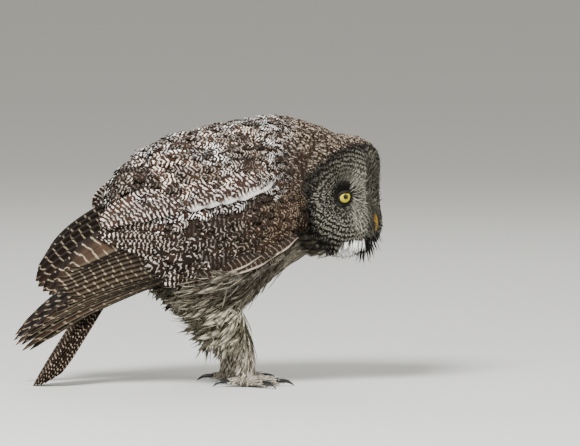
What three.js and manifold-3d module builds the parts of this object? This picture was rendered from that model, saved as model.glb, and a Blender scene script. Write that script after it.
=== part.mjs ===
// A life-size great grey owl that stands leaning forward, its head turned to its right, wings folded and drooped.
// Millimetres. +X is the way the body faces, +Y is its left, +Z is up. The finished group is shifted along X so that
// the origin is on the floor under the middle of the whole length.
import * as THREE from 'three';
import Module from 'manifold-3d';

const wasm = await Module();
wasm.setup();

// Driving sizes
const GAP = 0.3; // clear space that touching nodes keep
const BODY_STATIONS = [
  // x, top, bottom, half width
  [-184, 266, 226, 16],
  [-168, 301, 190, 58],
  [-130, 335, 150, 82],
  [-90, 354, 112, 93],
  [-45, 367, 84, 98],
  [0, 376, 106, 98],
  [40, 380, 142, 93],
  [80, 375, 169, 83],
  [120, 364, 188, 74],
  [150, 348, 214, 46],
];
const BODY_POWER = 2.2; // superellipse power of a body section
const HEAD_CENTRE = new THREE.Vector3(125, -5, 255);
const HEAD_YAW = THREE.MathUtils.degToRad(40); // to the owl's right
const HEAD = { front: 78, back: 70, side: 86, chin: 75, crown: 99 };
const HEAD_ROUND = 2.5; // power of the head's plan
const HEAD_FLAT = 2.9; // power of its upright outline, which makes the face flat
const FACE_CROWDING = 0.4; // how much closer together the head's sides are in front
const DISC_PLANE = 20; // depth in the head's frame where the facial discs begin
const BOWL = { y: 34, z: 10.5, depth: 26, spread: 27 }; // the hollow round each eye
const EYE = { radius: 12, proud: 5, turn: 26, lid: 9.2, lidThick: 2.2 };
const BILL = { z: -12, length: 29, width: 12, height: 17 };
const NECK_CUT = { normal: [0.978, 0, 0.207], at: 107.5 };
const HEAD_CUT = { normal: [0.936, -0.341, 0.092], at: 119 };
const WING_STACK = 27; // depth of the folded wing between its skin and the body
const LAYER = 1.35; // step from one flight feather to the next
const VANE = 0.9; // thickness of a flight feather
const FLOOR = 0;
const MIDDLE = -55.8; // where the origin lies along the length that the sizes below are measured in

// The same random numbers on each run
let seed = 7;
function random() {
  seed = (seed * 16807) % 2147483647;
  return seed / 2147483647;
}
const vary = (share) => 1 + share * (2 * random() - 1);
const clamp = THREE.MathUtils.clamp;
const lerp = THREE.MathUtils.lerp;
const smooth = (x, a, b) => THREE.MathUtils.smoothstep(x, a, b);
const degrees = THREE.MathUtils.degToRad;
const softStep = (x, width) => width * Math.log1p(Math.exp(x / width));
const point = (x, y, z) => new THREE.Vector3(x, y, z);

// Solids
function solidFrom(points, faces) {
  const make = (list) =>
    new wasm.Manifold(
      new wasm.Mesh({
        numProp: 3,
        vertProperties: new Float32Array(points.flatMap((p) => [p.x, p.y, p.z])),
        triVerts: new Uint32Array(list.flat()),
      }),
    );
  const made = make(faces);
  return made.volume() < 0 ? make(faces.map(([a, b, c]) => [a, c, b])) : made;
}

// A closed skin over rings of equal count, with a fan at each end
function loft(rings) {
  const n = rings[0].length;
  const points = rings.flat();
  const centre = (ring) => ring.reduce((sum, p) => sum.add(p), point(0, 0, 0)).divideScalar(n);
  const first = points.push(centre(rings[0])) - 1;
  const last = points.push(centre(rings.at(-1))) - 1;
  const faces = [];
  for (let j = 0; j < n; j++) {
    const k = (j + 1) % n;
    for (let i = 0; i < rings.length - 1; i++) {
      const [a, b, c, d] = [i * n + j, i * n + k, (i + 1) * n + k, (i + 1) * n + j];
      faces.push([a, b, c], [a, c, d]);
    }
    const base = (rings.length - 1) * n;
    faces.push([k, j, first], [base + j, base + k, last]);
  }
  return solidFrom(points, faces);
}

// A closed plate between two grids of the same size, split into the same triangles on both faces
function plate(upper, lower) {
  const rows = upper.length;
  const columns = upper[0].length;
  const points = [...upper.flat(), ...lower.flat()];
  const under = rows * columns;
  const at = (i, j) => i * columns + j;
  const faces = [];
  for (let i = 0; i < rows - 1; i++)
    for (let j = 0; j < columns - 1; j++) {
      const [a, b, c, d] = [at(i, j), at(i, j + 1), at(i + 1, j + 1), at(i + 1, j)];
      faces.push([a, b, c], [a, c, d], [b + under, a + under, c + under], [c + under, a + under, d + under]);
    }
  const wall = (a, b) => faces.push([b, a, a + under], [b, a + under, b + under]);
  for (let i = 0; i < rows - 1; i++) {
    wall(at(i + 1, 0), at(i, 0));
    wall(at(i, columns - 1), at(i + 1, columns - 1));
  }
  for (let j = 0; j < columns - 1; j++) {
    wall(at(0, j), at(0, j + 1));
    wall(at(rows - 1, j + 1), at(rows - 1, j));
  }
  return solidFrom(points, faces);
}

const largest = (solid) => solid.decompose().sort((a, b) => b.volume() - a.volume())[0];
const fuse = (...pieces) => largest(wasm.Manifold.union(pieces.flat()));
const ahead = (solid, { normal, at }) => solid.trimByPlane(normal, at + GAP / 2);
const behind = (solid, { normal, at }) => solid.trimByPlane(normal.map((c) => -c), GAP / 2 - at);
const aboveFloor = (solid) => solid.trimByPlane([0, 0, 1], FLOOR);

function ball(centre, radius, wide = 20, high = 12, scale = [1, 1, 1]) {
  const rings = [];
  for (let i = 1; i < high; i++) {
    const tilt = (Math.PI * i) / high;
    rings.push(
      Array.from({ length: wide }, (_, j) => {
        const turn = (2 * Math.PI * j) / wide;
        return point(
          centre.x + radius * scale[0] * Math.sin(tilt) * Math.cos(turn),
          centre.y + radius * scale[1] * Math.sin(tilt) * Math.sin(turn),
          centre.z + radius * scale[2] * Math.cos(tilt),
        );
      }),
    );
  }
  return loft(rings);
}

// A tube through points with a radius at each, its sections square to the path
function limb(path, radii, sides = 10, flatten = 1) {
  const rings = path.map((p, i) => {
    const ahead1 = path[Math.min(i + 1, path.length - 1)];
    const along = ahead1.clone().sub(path[Math.max(i - 1, 0)]).normalize();
    const across = Math.abs(along.z) > 0.9 ? point(0, 1, 0) : point(0, 0, 1).cross(along).normalize();
    const up = along.clone().cross(across).normalize();
    const side = up.clone().cross(along);
    return Array.from({ length: sides }, (_, j) => {
      const turn = (2 * Math.PI * j) / sides;
      return p
        .clone()
        .addScaledVector(side, radii[i] * Math.cos(turn))
        .addScaledVector(up, radii[i] * flatten * Math.sin(turn));
    });
  });
  return loft(rings);
}

// A smooth curve through [x, value] pairs
function through(pairs) {
  const slope = (i) => {
    const [a, b] = [pairs[Math.max(i - 1, 0)], pairs[Math.min(i + 1, pairs.length - 1)]];
    return (b[1] - a[1]) / (b[0] - a[0]);
  };
  return (x) => {
    const at = clamp(x, pairs[0][0], pairs.at(-1)[0]);
    let i = 0;
    while (i < pairs.length - 2 && at > pairs[i + 1][0]) i++;
    const [[x0, y0], [x1, y1]] = [pairs[i], pairs[i + 1]];
    const [h, t] = [x1 - x0, (at - x0) / (x1 - x0)];
    const [t2, t3] = [t * t, t * t * t];
    return (
      (2 * t3 - 3 * t2 + 1) * y0 +
      (t3 - 2 * t2 + t) * h * slope(i) +
      (3 * t2 - 2 * t3) * y1 +
      (t3 - t2) * h * slope(i + 1)
    );
  };
}

// Body: one form from rump to neck, with a superellipse for each section
const bodyTop = through(BODY_STATIONS.map((s) => [s[0], s[1]]));
const bodyBottom = through(BODY_STATIONS.map((s) => [s[0], s[2]]));
const bodyWidth = through(BODY_STATIONS.map((s) => [s[0], s[3]]));

function bodyPoint(x, turn, grow = 0) {
  const middle = (bodyTop(x) + bodyBottom(x)) / 2;
  const half = (bodyTop(x) - bodyBottom(x)) / 2 + grow;
  const power = 2 / BODY_POWER;
  const [c, s] = [Math.cos(turn), Math.sin(turn)];
  return point(
    x,
    (bodyWidth(x) + grow) * Math.sign(c) * Math.abs(c) ** power,
    middle + half * Math.sign(s) * Math.abs(s) ** power,
  );
}

function bodyForm(grow = 0) {
  const count = 18;
  const sides = 22;
  const [from, to] = [BODY_STATIONS[0][0] - grow, BODY_STATIONS.at(-1)[0] + grow];
  const rings = [];
  for (let i = 0; i < count; i++) {
    const x = lerp(from, to, (1 - Math.cos((Math.PI * (i + 0.15)) / (count - 0.7))) / 2);
    rings.push(Array.from({ length: sides }, (_, j) => bodyPoint(x, (2 * Math.PI * j) / sides, grow)));
  }
  return loft(rings);
}

// Head: a rounded form with a flat face, in a frame of its own (x out of the face, y left, z up)
const faceX = point(Math.cos(HEAD_YAW), -Math.sin(HEAD_YAW), 0);
const faceY = point(Math.sin(HEAD_YAW), Math.cos(HEAD_YAW), 0);
const inHead = (x, y, z) =>
  HEAD_CENTRE.clone().addScaledVector(faceX, x).addScaledVector(faceY, y).add(point(0, 0, z));

const bowlAt = (y, z) =>
  BOWL.depth *
  Math.exp(-((Math.abs(y) - BOWL.y) ** 2 + 0.8 * (z - BOWL.z) ** 2) / (2 * BOWL.spread ** 2)) *
  smooth(Math.abs(y), 0, 26);

// Depth of the face over the disc plane's frame, at y across and z up
function faceDepth(y, z) {
  const upright = 1 - (Math.abs(z) / (z > 0 ? HEAD.crown : HEAD.chin)) ** HEAD_FLAT;
  const plan = Math.max(upright, 0) ** (HEAD_ROUND / HEAD_FLAT) - (Math.abs(y) / HEAD.side) ** HEAD_ROUND;
  return HEAD.front * Math.max(plan, 0) ** (1 / HEAD_ROUND) - bowlAt(y, z);
}
const onFace = (y, z, lift = 0) => inHead(faceDepth(y, z) + lift, y, z);

// Its rings are evenly spaced in height, and its sides are closest together across the face.
function headForm() {
  const sides = 32;
  const rows = 15;
  const rings = [];
  for (let i = 0; i < rows; i++) {
    const height = lerp(-0.985, 0.985, i / (rows - 1));
    const tilt = Math.asin(Math.sign(height) * Math.abs(height) ** (HEAD_FLAT / 2));
    rings.push(
      Array.from({ length: sides }, (_, j) => {
        const even = (2 * Math.PI * j) / sides;
        const turn = even - FACE_CROWDING * Math.sin(even);
        const flat = lerp(2.2, HEAD_FLAT, smooth(Math.cos(turn), -0.4, 0.5));
        const level = Math.cos(tilt) ** (2 / flat);
        const [c, s] = [Math.cos(turn), Math.sin(turn)];
        const reach = c > 0 ? HEAD.front : HEAD.back;
        let x = level * reach * Math.sign(c) * Math.abs(c) ** (2 / HEAD_ROUND);
        const y = level * HEAD.side * Math.sign(s) * Math.abs(s) ** (2 / HEAD_ROUND);
        const z = (tilt > 0 ? HEAD.crown : -HEAD.chin) * Math.abs(Math.sin(tilt)) ** (2 / flat);
        if (x > DISC_PLANE) x = Math.max(x - bowlAt(y, z), DISC_PLANE + 0.5);
        return inHead(x, y, z);
      }),
    );
  }
  return loft(rings);
}

// Folded wings: each lies on a curved surface beside the body, given over the side view (x, z)
const wingReach = (x) => 89 - 0.145 * softStep(-(x + 55), 25) - 0.25 * softStep(x - 45, 15);
const wingMiddle = (x) => 236 - 0.55 * softStep(-(x + 90), 30);
const wingHalf = (x) => 150 - 0.16 * softStep(-(x + 90), 30);

function wingSurface(wing, x, z) {
  const off = clamp((z - wing.lift(x) - wingMiddle(x)) / wingHalf(x), -0.96, 0.96);
  return point(x, wing.side * wingReach(x) * Math.sqrt(1 - off * off), z);
}

// The point at height h outside the wing's surface, over (x, z) in the side view
function onWing(wing, x, z, h) {
  const step = 2;
  const here = wingSurface(wing, x, z);
  const alongX = wingSurface(wing, x + step, z).sub(here);
  const alongZ = wingSurface(wing, x, z + step).sub(here);
  const normal = alongX.cross(alongZ).normalize();
  if (normal.y * wing.side < 0) normal.negate();
  return here.addScaledVector(normal, h);
}

// A vane that follows a bent line from root to tip. place(u, v, h) puts a point of its plan in space.
function vane({ root, tip, bulge = 0, width, height, place, rows = 4, ribbed = true, thick = VANE, drop = 0, tilt = 0, blunt = 0.3 }) {
  const [a, b] = [new THREE.Vector2(...root), new THREE.Vector2(...tip)];
  const reach = b.clone().sub(a);
  const lift = new THREE.Vector2(-reach.y, reach.x).normalize();
  if (lift.y < 0) lift.negate();
  const middle = a.clone().lerp(b, 0.5).addScaledVector(lift, 2 * bulge * reach.length());
  const line = new THREE.QuadraticBezierCurve(a, middle, b);
  const columns = ribbed ? [-0.5, 0, 0.5] : [-0.5, 0.5];
  const grid = (side) => {
    const out = [];
    for (let i = 0; i <= rows; i++) {
      const t = i < rows ? (i / rows) ** 0.9 * 0.97 : 1;
      const centre = line.getPoint(t);
      const across = line.getTangent(t).rotateAround(new THREE.Vector2(), Math.PI / 2);
      const full = lerp(0.45, 1, smooth(t, 0, 0.3)) * (t < 1 ? 1 - (1 - blunt) * smooth(t, 0.62, 1) : blunt * 0.35);
      out.push(
        columns.map((c) => {
          const at = centre.clone().addScaledVector(across, c * width * full);
          const rib = ribbed && c === 0 ? 0.5 : 0;
          const slope = tilt * c * width * full;
          return place(at.x, at.y, height - drop * t + rib + slope + (side * thick) / 2);
        }),
      );
    }
    return out;
  };
  return plate(grid(1), grid(-1));
}

// A slab of the wing between two edges in the side view, from height low to high
function wingSlab(wing, lower, upper, low, high, rows = 7, columns = 5) {
  const edge = (list) => new THREE.SplineCurve(list.map((p) => new THREE.Vector2(...p)));
  const [down, up] = [edge(lower), edge(upper)];
  const grid = (height) => {
    const out = [];
    for (let i = 0; i <= rows; i++) {
      const s = i / rows;
      const [a, b] = [down.getPoint(s), up.getPoint(s)];
      out.push(
        Array.from({ length: columns + 1 }, (_, j) => {
          const t = j / columns;
          const at = a.clone().lerp(b, t);
          return onWing(wing, at.x, at.y + wing.lift(at.x), height(s, t));
        }),
      );
    }
    return out;
  };
  const value = (h) => (typeof h === 'function' ? h : () => h);
  return plate(grid(value(high)), grid(value(low)));
}

// Edges of the wing's parts in the side view, before a wing's own lift
const COVERT_LOWER = [[82, 247], [80, 226], [60, 200], [31, 180], [-21, 161], [-77, 147]];
const COVERT_UPPER = [[82, 249], [76, 268], [45, 279], [-7, 267], [-63, 248], [-122, 226]];
const BAY_LOWER = [[88, 236], [73, 209], [31, 174], [-21, 154], [-77, 136], [-130, 116], [-200, 84]];
const BAY_UPPER = [[90, 262], [62, 286], [30, 285], [-7, 276], [-63, 262], [-126, 258], [-200, 258]];
const split = (list, from, to) => {
  const curve = new THREE.SplineCurve(list.map((p) => new THREE.Vector2(...p)));
  return Array.from({ length: 5 }, (_, i) => curve.getPoint(lerp(from, to, i / 4)).toArray());
};
const raise = (list, rise) => list.map(([x, z]) => [x, z + rise]);
const between = (low, high, share) => low.map((p, i) => [lerp(p[0], high[i][0], share), lerp(p[1], high[i][1], share)]);

const RIGHT = {
  name: 'right',
  side: -1,
  lift: () => 0,
  secondaryTips: [[-240, 126], [-258, 138], [-265, 152], [-243, 172]],
  primaryTips: [[-249, 116], [-286, 84], [-308, 60], [-299, 41], [-249, 71]],
};
const LEFT = {
  name: 'left',
  side: 1,
  lift: (x) => lerp(8, 26, smooth(x, -300, -110)),
  secondaryTips: [[-246, 116], [-272, 126], [-284, 146], [-266, 172]],
  primaryTips: [[-262, 112], [-298, 84], [-316, 60], [-306, 46], [-262, 70]],
};
const SECONDARIES = 9;
const PRIMARIES = 10;
const COVERTS = 8;

// Tips spread evenly along a smooth line through a few of them
function spread(tips, count) {
  const curve = new THREE.SplineCurve(tips.map((p) => new THREE.Vector2(...p)));
  return Array.from({ length: count }, (_, i) => curve.getPoint(i / (count - 1)).toArray());
}

function wingNodes(wing) {
  const place = (x, z, h) => onWing(wing, x, z, h);
  const raised = ([x, z]) => [x, z + wing.lift(x)];

  // Secondaries: rooted in a block behind the arm, the innermost on top
  const secondaryTips = spread(wing.secondaryTips, SECONDARIES);
  const secondaryRoot = wingSlab(
    wing,
    split(COVERT_LOWER, 0.62, 0.86),
    split(COVERT_UPPER, 0.6, 0.86),
    -0.4 - SECONDARIES * LAYER,
    -1.5,
    3,
    3,
  );
  const secondaries = secondaryTips.map((tip, i) => {
    const share = i / (SECONDARIES - 1);
    return vane({
      root: raised([lerp(-52, -66, share), lerp(172, 226, share)]),
      tip,
      bulge: lerp(0.07, 0.11, share),
      width: lerp(30, 42, share),
      height: -0.9 - (SECONDARIES - 1 - i) * LAYER,
      place,
      blunt: 0.5,
    });
  });

  // Primaries: rooted in the hand, under the secondaries, the outermost lowest
  const primaryTips = spread(wing.primaryTips, PRIMARIES);
  const handTop = -0.4 - SECONDARIES * LAYER - 0.8;
  const primaryRoot = wingSlab(
    wing,
    split(COVERT_LOWER, 0.66, 1),
    between(split(COVERT_LOWER, 0.66, 1), split(COVERT_UPPER, 0.66, 1), 0.36),
    -WING_STACK + 1.6,
    handTop,
    3,
    2,
  );
  const primaryStep = (WING_STACK - 1.8 + handTop) / (PRIMARIES - 1);
  const primaries = primaryTips.map((tip, i) => {
    const share = i / (PRIMARIES - 1);
    return vane({
      root: raised([-48, lerp(172, 160, share)]),
      tip,
      bulge: 0.075,
      width: lerp(34, 24, share),
      height: handTop - 0.6 - i * primaryStep,
      place,
      ribbed: i % 9 === 0,
      blunt: lerp(0.5, 0.3, share),
    });
  });

  // Arm and coverts: a rounded pad over the arm, with tiers of coverts that end over the flight feathers
  const swell = (s, t) =>
    0.9 + 8.5 * Math.sin(Math.PI * clamp(t, 0, 1)) ** 0.8 * lerp(1, 0.45, smooth(s, 0.4, 1)) * lerp(1, 0.5, smooth(t, 0.5, 1));
  const pad = wingSlab(wing, COVERT_LOWER, COVERT_UPPER, 0.6, swell, 8, 5);
  const arm = wingSlab(
    wing,
    split(COVERT_LOWER, 0, 0.6),
    split(COVERT_UPPER, 0, 0.58),
    -WING_STACK + 3,
    1.2,
    4,
    3,
  );
  const covertTips = spread([[-116, 150], [-106, 180], [-150, 192], [-183, 203], [-207, 214], [-186, 232]], COVERTS);
  const coverts = covertTips.map((tip, i) => {
    const share = i / (COVERTS - 1);
    return vane({
      root: raised([lerp(-52, -92, share), lerp(158, 226, share)]),
      tip: raised(tip),
      bulge: 0.05,
      width: 27,
      height: 3.4,
      drop: 0.8,
      tilt: 0.12,
      place,
      rows: 3,
      ribbed: false,
      thick: 1,
      blunt: 0.6,
    });
  });
  const middleCoverts = Array.from({ length: 4 }, (_, i) => {
    const share = 0.12 + i / 4;
    return vane({
      root: raised([lerp(-14, -52, share), lerp(172, 236, share)]),
      tip: raised([lerp(-64, -114, share), lerp(158, 222, share)]),
      bulge: 0.04,
      width: 29,
      height: lerp(8, 6.6, Math.abs(2 * share - 1)),
      drop: 0.6,
      tilt: 0.13,
      place,
      rows: 2,
      ribbed: false,
      thick: 1.1,
      blunt: 0.6,
    });
  });
  return {
    coverts: fuse(pad, arm, coverts, middleCoverts),
    secondaries: fuse(secondaryRoot, secondaries),
    primaries: fuse(primaryRoot, primaries),
  };
}

const bay = (wing) => wingSlab(wing, BAY_LOWER, BAY_UPPER, -WING_STACK, 90, 8, 4);

// Scapulars: broad feathers from the back that lie over the top of the wing
function scapulars(wing) {
  const count = 6;
  return Array.from({ length: count }, (_, i) => {
    const share = i / (count - 1);
    const [x, z] = [lerp(46, -112, share), lerp(295, 276, share)];
    return vane({
      root: [x + 6, z + 0.8 * wing.lift(x) + 8],
      tip: [x - 60, z + 0.8 * wing.lift(x - 60) - lerp(26, 40, share)],
      bulge: 0.05,
      width: 36,
      height: 3.6,
      drop: -4.8,
      tilt: 0.08,
      place: (u, v, h) => onWing(wing, u, v, h),
      rows: 3,
      ribbed: false,
      thick: 1.2,
      blunt: 0.6,
    });
  });
}

// A flat tapered lock from a root, along a direction that droops towards the floor
function lock(root, direction, face, length, width, thick, droop = 0.5, widths = [0.85, 1, 0.14]) {
  const rings = [];
  const at = root.clone();
  const along = direction.clone().normalize();
  for (const taper of widths) {
    const across = along.clone().cross(face).normalize();
    const out = across.clone().cross(along).normalize();
    const [w, h] = [(width / 2) * taper, (thick / 2) * Math.max(taper, 0.3)];
    rings.push(
      [[-1, 0], [0, 1], [1, 0], [0, -1]].map(([u, v]) =>
        at.clone().addScaledVector(across, u * w).addScaledVector(out, v * h),
      ),
    );
    along.addScaledVector(point(0, 0, -1), droop / widths.length).normalize();
    at.addScaledVector(along, length / (widths.length - 1));
  }
  return loft(rings);
}

// Long loose feathers of the belly, flanks and vent
function bellyLocks() {
  const locks = [];
  for (let row = 0; row < 4; row++) {
    const x = lerp(6, -120, row / 3);
    for (let k = 0; k < 5; k++) {
      const turn = -Math.PI / 2 + degrees(lerp(-50, 50, (k + (row % 2) * 0.5) / 4.5));
      const surface = bodyPoint(x * vary(0.03), turn);
      const outward = surface.clone().sub(point(x, 0, bodyTop(x) - 60)).normalize();
      const along = point(-0.9, outward.y * 0.1, -0.42);
      locks.push(
        lock(surface.addScaledVector(outward, -5), along, outward, 50 * vary(0.15), 42 * vary(0.12), 8, 0.5, [0.8, 1, 0.7, 0.12]),
      );
    }
  }
  return locks;
}

// Tail: twelve feathers in a narrow fan that hangs to the floor, rolled towards the owl's right
const TAIL = { root: point(-148, 0, 216), tip: point(-291, 0, -1), roll: 11, width: 35, fan: 17, feathers: 12 };
const tailLine = TAIL.tip.clone().sub(TAIL.root);
const tailLength = tailLine.length();
const tailAlong = tailLine.clone().normalize();
const tailUp = point(tailAlong.z, 0, -tailAlong.x);
const tailAcross = point(0, 1, 0)
  .multiplyScalar(Math.cos(degrees(TAIL.roll)))
  .addScaledVector(tailUp, Math.sin(degrees(TAIL.roll)));
const tailNormal = tailAlong.clone().cross(tailAcross);
if (tailNormal.z < 0) tailNormal.negate();
// A point u along the tail, v across it and h above it. The fan is a little arched across and along.
function onTail(u, v, h) {
  const arch = -(v * v) / 130 - 9 * (u / tailLength) ** 2 + 9 * (u / tailLength);
  return TAIL.root
    .clone()
    .addScaledVector(tailAlong, u)
    .addScaledVector(tailAcross, v)
    .addScaledVector(tailNormal, h + arch);
}

function tailNode() {
  const vanes = [];
  for (let i = 0; i < TAIL.feathers; i++) {
    const pair = Math.floor(i / 2);
    const side = i % 2 ? 1 : -1;
    const share = pair / 5;
    vanes.push(
      vane({
        root: [12, side * (1 + 5 * share)],
        tip: [tailLength - 30 * share ** 1.5, side * (3 + TAIL.fan * share)],
        width: TAIL.width * lerp(1, 0.8, share),
        height: -(2 * pair + (i % 2)) * (LAYER - 0.15),
        thick: VANE - 0.1,
        place: onTail,
        rows: 4,
        blunt: 0.4,
      }),
    );
  }
  const core = limb(
    [0, 20, 52, 86].map((u) => onTail(u, 0, -7)),
    [15, 19, 17, 7],
    8,
    0.8,
  );
  const covert = (k, under) => {
    const across = [-0.7, 0.7][k];
    return vane({
      root: [34, across * 7],
      tip: [under ? 118 - 10 * k : 104 - 8 * k, across * 15],
      width: 30,
      height: under ? -16.4 - 1.7 * k : 6 - 1.7 * k,
      place: onTail,
      rows: 3,
      ribbed: false,
      thick: 1.2,
    });
  };
  const tiers = [0, 1].flatMap((k) => [covert(k, false), covert(k, true)]);
  return aboveFloor(fuse(core, vanes, tiers));
}
const tailSocket = (grow) =>
  limb([-6, 20, 52, 92].map((u) => onTail(u, 0, -7)), [21, 23, 26, 28].map((r) => r + grow), 12, 0.95);

// Legs: feathered shanks, and feet with feathered toes on the floor
const LEGS = [
  { name: 'right', side: -1, ankle: point(4, -40, 17) },
  { name: 'left', side: 1, ankle: point(-10, 40, 17) },
];
const TOES = [
  // heading from forward, length
  ['inner', -26, 40],
  ['middle', 4, 45],
  ['outer', 52, 38],
  ['hind', 172, 25],
];
const CLAW = { path: [[0, 0], [6, -0.4], [13, 0.6], [19, 3.8], [22.5, 7.1]], radii: [3.4, 3.1, 2.3, 1.3, 0.3] };

function legForm(leg, grow = 0) {
  const hip = point(leg.ankle.x - 30, leg.side * 36, 130);
  const knee = point(leg.ankle.x - 16, leg.side * 39, 78);
  const shank = point(leg.ankle.x - 3, leg.side * 40, 42);
  const end = leg.ankle.clone().add(point(0, 0, 6 - grow));
  return limb([hip, knee, shank, end], [24, 20.5, 16, 12.5].map((r) => r + grow), 10, 1);
}

function legNode(leg, bodyGrown) {
  const locks = [];
  for (let row = 0; row < 2; row++)
    for (let k = 0; k < 5; k++) {
      const turn = (2 * Math.PI * (k + row * 0.5)) / 5;
      const out = point(Math.cos(turn), Math.sin(turn), 0);
      const z = [74, 50][row];
      const centre = point(leg.ankle.x - 0.24 * (z - 23), leg.side * 40, z);
      const root = centre.addScaledVector(out, [14.5, 11.5][row]);
      locks.push(lock(root, point(out.x * 0.22, out.y * 0.22, -1), out, 31 * vary(0.1), 24, 5, 0.2));
    }
  return largest(fuse(legForm(leg), locks).subtract(bodyGrown)).trimByPlane([0, 0, 1], 21.3);
}

function footNodes(leg) {
  const nodes = {};
  const pieces = [ball(leg.ankle.clone().setZ(8.4), 16, 10, 5, [1, 0.9, 0.72])];
  for (const [toe, heading, length] of TOES) {
    const turn = degrees(heading) * leg.side;
    const out = point(Math.cos(turn), Math.sin(turn), 0);
    const at = (reach, z) => leg.ankle.clone().setZ(z).addScaledVector(out, reach);
    pieces.push(
      limb([at(3, 7.8), at(length * 0.45, 7.3), at(length * 0.8, 6.8), at(length, 7.2)], [9.6, 9, 8.4, 6], 6, 0.95),
    );
    const claw = CLAW.path.map(([reach, drop]) => at(length + GAP + reach, 7.6 - drop));
    nodes[`claw_${toe}_${leg.name}`] = limb(claw, CLAW.radii, 6);
  }
  nodes[`foot_${leg.name}`] = largest(aboveFloor(fuse(pieces)).trimByPlane([0, 0, -1], -21));
  return nodes;
}

// Eyes sit in their bowls, each looking a little outwards
function eyePlace(side) {
  const turn = degrees(EYE.turn) * side;
  const look = faceX.clone().multiplyScalar(Math.cos(turn)).addScaledVector(faceY, Math.sin(turn));
  const surface = onFace(side * BOWL.y, BOWL.z);
  return { look, centre: surface.clone().addScaledVector(look, EYE.proud - EYE.radius) };
}

function lids({ look, centre }) {
  const sides = 12;
  const depth = Math.sqrt(EYE.radius ** 2 - EYE.lid ** 2) + 0.4;
  const up = point(0, 0, 1);
  const across = up.clone().cross(look).normalize();
  const points = [];
  const faces = [];
  const tube = 5;
  for (let i = 0; i < sides; i++) {
    const turn = (2 * Math.PI * i) / sides;
    const brow = Math.max(Math.sin(turn), 0);
    const out = across.clone().multiplyScalar(Math.cos(turn)).addScaledVector(up, Math.sin(turn) * (1 - 0.12 * brow));
    for (let j = 0; j < tube; j++) {
      const roll = (2 * Math.PI * j) / tube;
      const r = EYE.lidThick * (1 + 0.45 * brow);
      points.push(
        centre
          .clone()
          .addScaledVector(out, EYE.lid + 1 + r * Math.cos(roll))
          .addScaledVector(look, depth - 0.6 + 1.6 * brow + r * Math.sin(roll)),
      );
      const [a, b] = [i * tube + j, i * tube + ((j + 1) % tube)];
      const [c, d] = [((i + 1) % sides) * tube + ((j + 1) % tube), ((i + 1) % sides) * tube + j];
      faces.push([a, b, c], [a, c, d]);
    }
  }
  return solidFrom(points, faces);
}

// Bill: a short hooked upper half over a lower half, between the discs
function billForm(grow = 0) {
  const rings = [];
  const steps = 7;
  for (let i = 0; i <= steps; i++) {
    const t = i / steps;
    const bend = t * 1.75;
    const x = 58 + 20 * Math.sin(bend) + 4 * (1 - t);
    const z = BILL.z - BILL.length * (1 - Math.cos(bend)) * 0.86;
    const w = (BILL.width / 2) * (1 - t ** 1.6 * 0.93) + grow;
    const h = (BILL.height / 2) * (1 - t ** 1.3 * 0.93) + grow;
    const [ax, az] = [-Math.sin(bend - 0.1), -Math.cos(bend - 0.1)];
    rings.push(
      Array.from({ length: 10 }, (_, j) => {
        const turn = (2 * Math.PI * j) / 10;
        const [c, s] = [Math.cos(turn), Math.sin(turn)];
        return inHead(x - ax * s * h, c * w * (s > 0 ? 1 - 0.35 * s : 1), z - az * s * h);
      }),
    );
  }
  return loft(rings);
}
function lowerBill(grow = 0) {
  const path = [0, 0.4, 0.75, 1].map((t) => inHead(50 + 14 * t, 0, BILL.z - 15 - 7 * t * t));
  return limb(path, [4.6, 4.4, 3.2, 1.2].map((r) => r + grow), 8);
}
const nostril = (side) => ball(inHead(75.5, side * 4.8, BILL.z - 1.5), 1.5, 8, 6);

const FACE_LEAN = 0.12; // how far a face feather stands off the surface for each mm of its length

// A short flat feather that lies on the face, from (y, z) towards (y, z) plus a step
function faceFeather(y, z, stepY, stepZ, length, width, thick, droop = 0) {
  const root = onFace(y, z);
  const near = 0.1;
  const along = onFace(y + near * stepY, z + near * stepZ).sub(root).normalize();
  const beside = onFace(y - near * stepZ, z + near * stepY).sub(root);
  const out = along.clone().cross(beside).normalize();
  if (out.dot(faceX) < 0) out.negate();
  return lock(root.addScaledVector(along, -3), along.addScaledVector(out, FACE_LEAN), out, length, width, thick, droop);
}

// Ruff: overlapping short feathers that turn over the rim of each disc
const RUFF = { count: 8, at: 0.86, length: 25, width: 32, thick: 4.6 };
function ruff(side) {
  return Array.from({ length: RUFF.count }, (_, i) => {
    const turn = degrees(lerp(74, -64, i / (RUFF.count - 1)));
    const y = side * HEAD.side * RUFF.at * Math.cos(turn) ** 0.8;
    const z = (turn > 0 ? HEAD.crown : HEAD.chin) * RUFF.at * Math.sign(turn) * Math.abs(Math.sin(turn)) ** 0.8;
    return faceFeather(y, z, y / 60, z / 60, RUFF.length, RUFF.width, RUFF.thick);
  });
}

// The pale moustache under each disc, and the black chin between the two
function moustache(side) {
  const brush = Array.from({ length: 3 }, (_, i) => {
    const share = i / 2;
    return faceFeather(side * lerp(20, 46, share), lerp(-50, -46, share), side * 0.4, -1, 26 * vary(0.1), 19, 5.5);
  });
  const chin = [-36, -47].map((z, i) => faceFeather(side * (7 - 2 * i), z, side * 0.1, -1, 24, 13, 6.5));
  return [...brush, ...chin];
}

// Assembly: one whole form, hollowed for the wings and tail and parted by thin cuts
const whole = fuse(bodyForm(), headForm());
const bays = [bay(RIGHT), bay(LEFT)];
const carved = whole.subtract(wasm.Manifold.union(bays)).subtract(tailSocket(0));
const discPlane = { normal: faceX.toArray(), at: faceX.dot(HEAD_CENTRE) + DISC_PLANE };
const midPlane = { normal: faceY.toArray(), at: faceY.dot(HEAD_CENTRE) };
const bodyGrown = bodyForm(GAP);
const legsGrown = LEGS.map((leg) => legForm(leg, GAP + 2));

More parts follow.
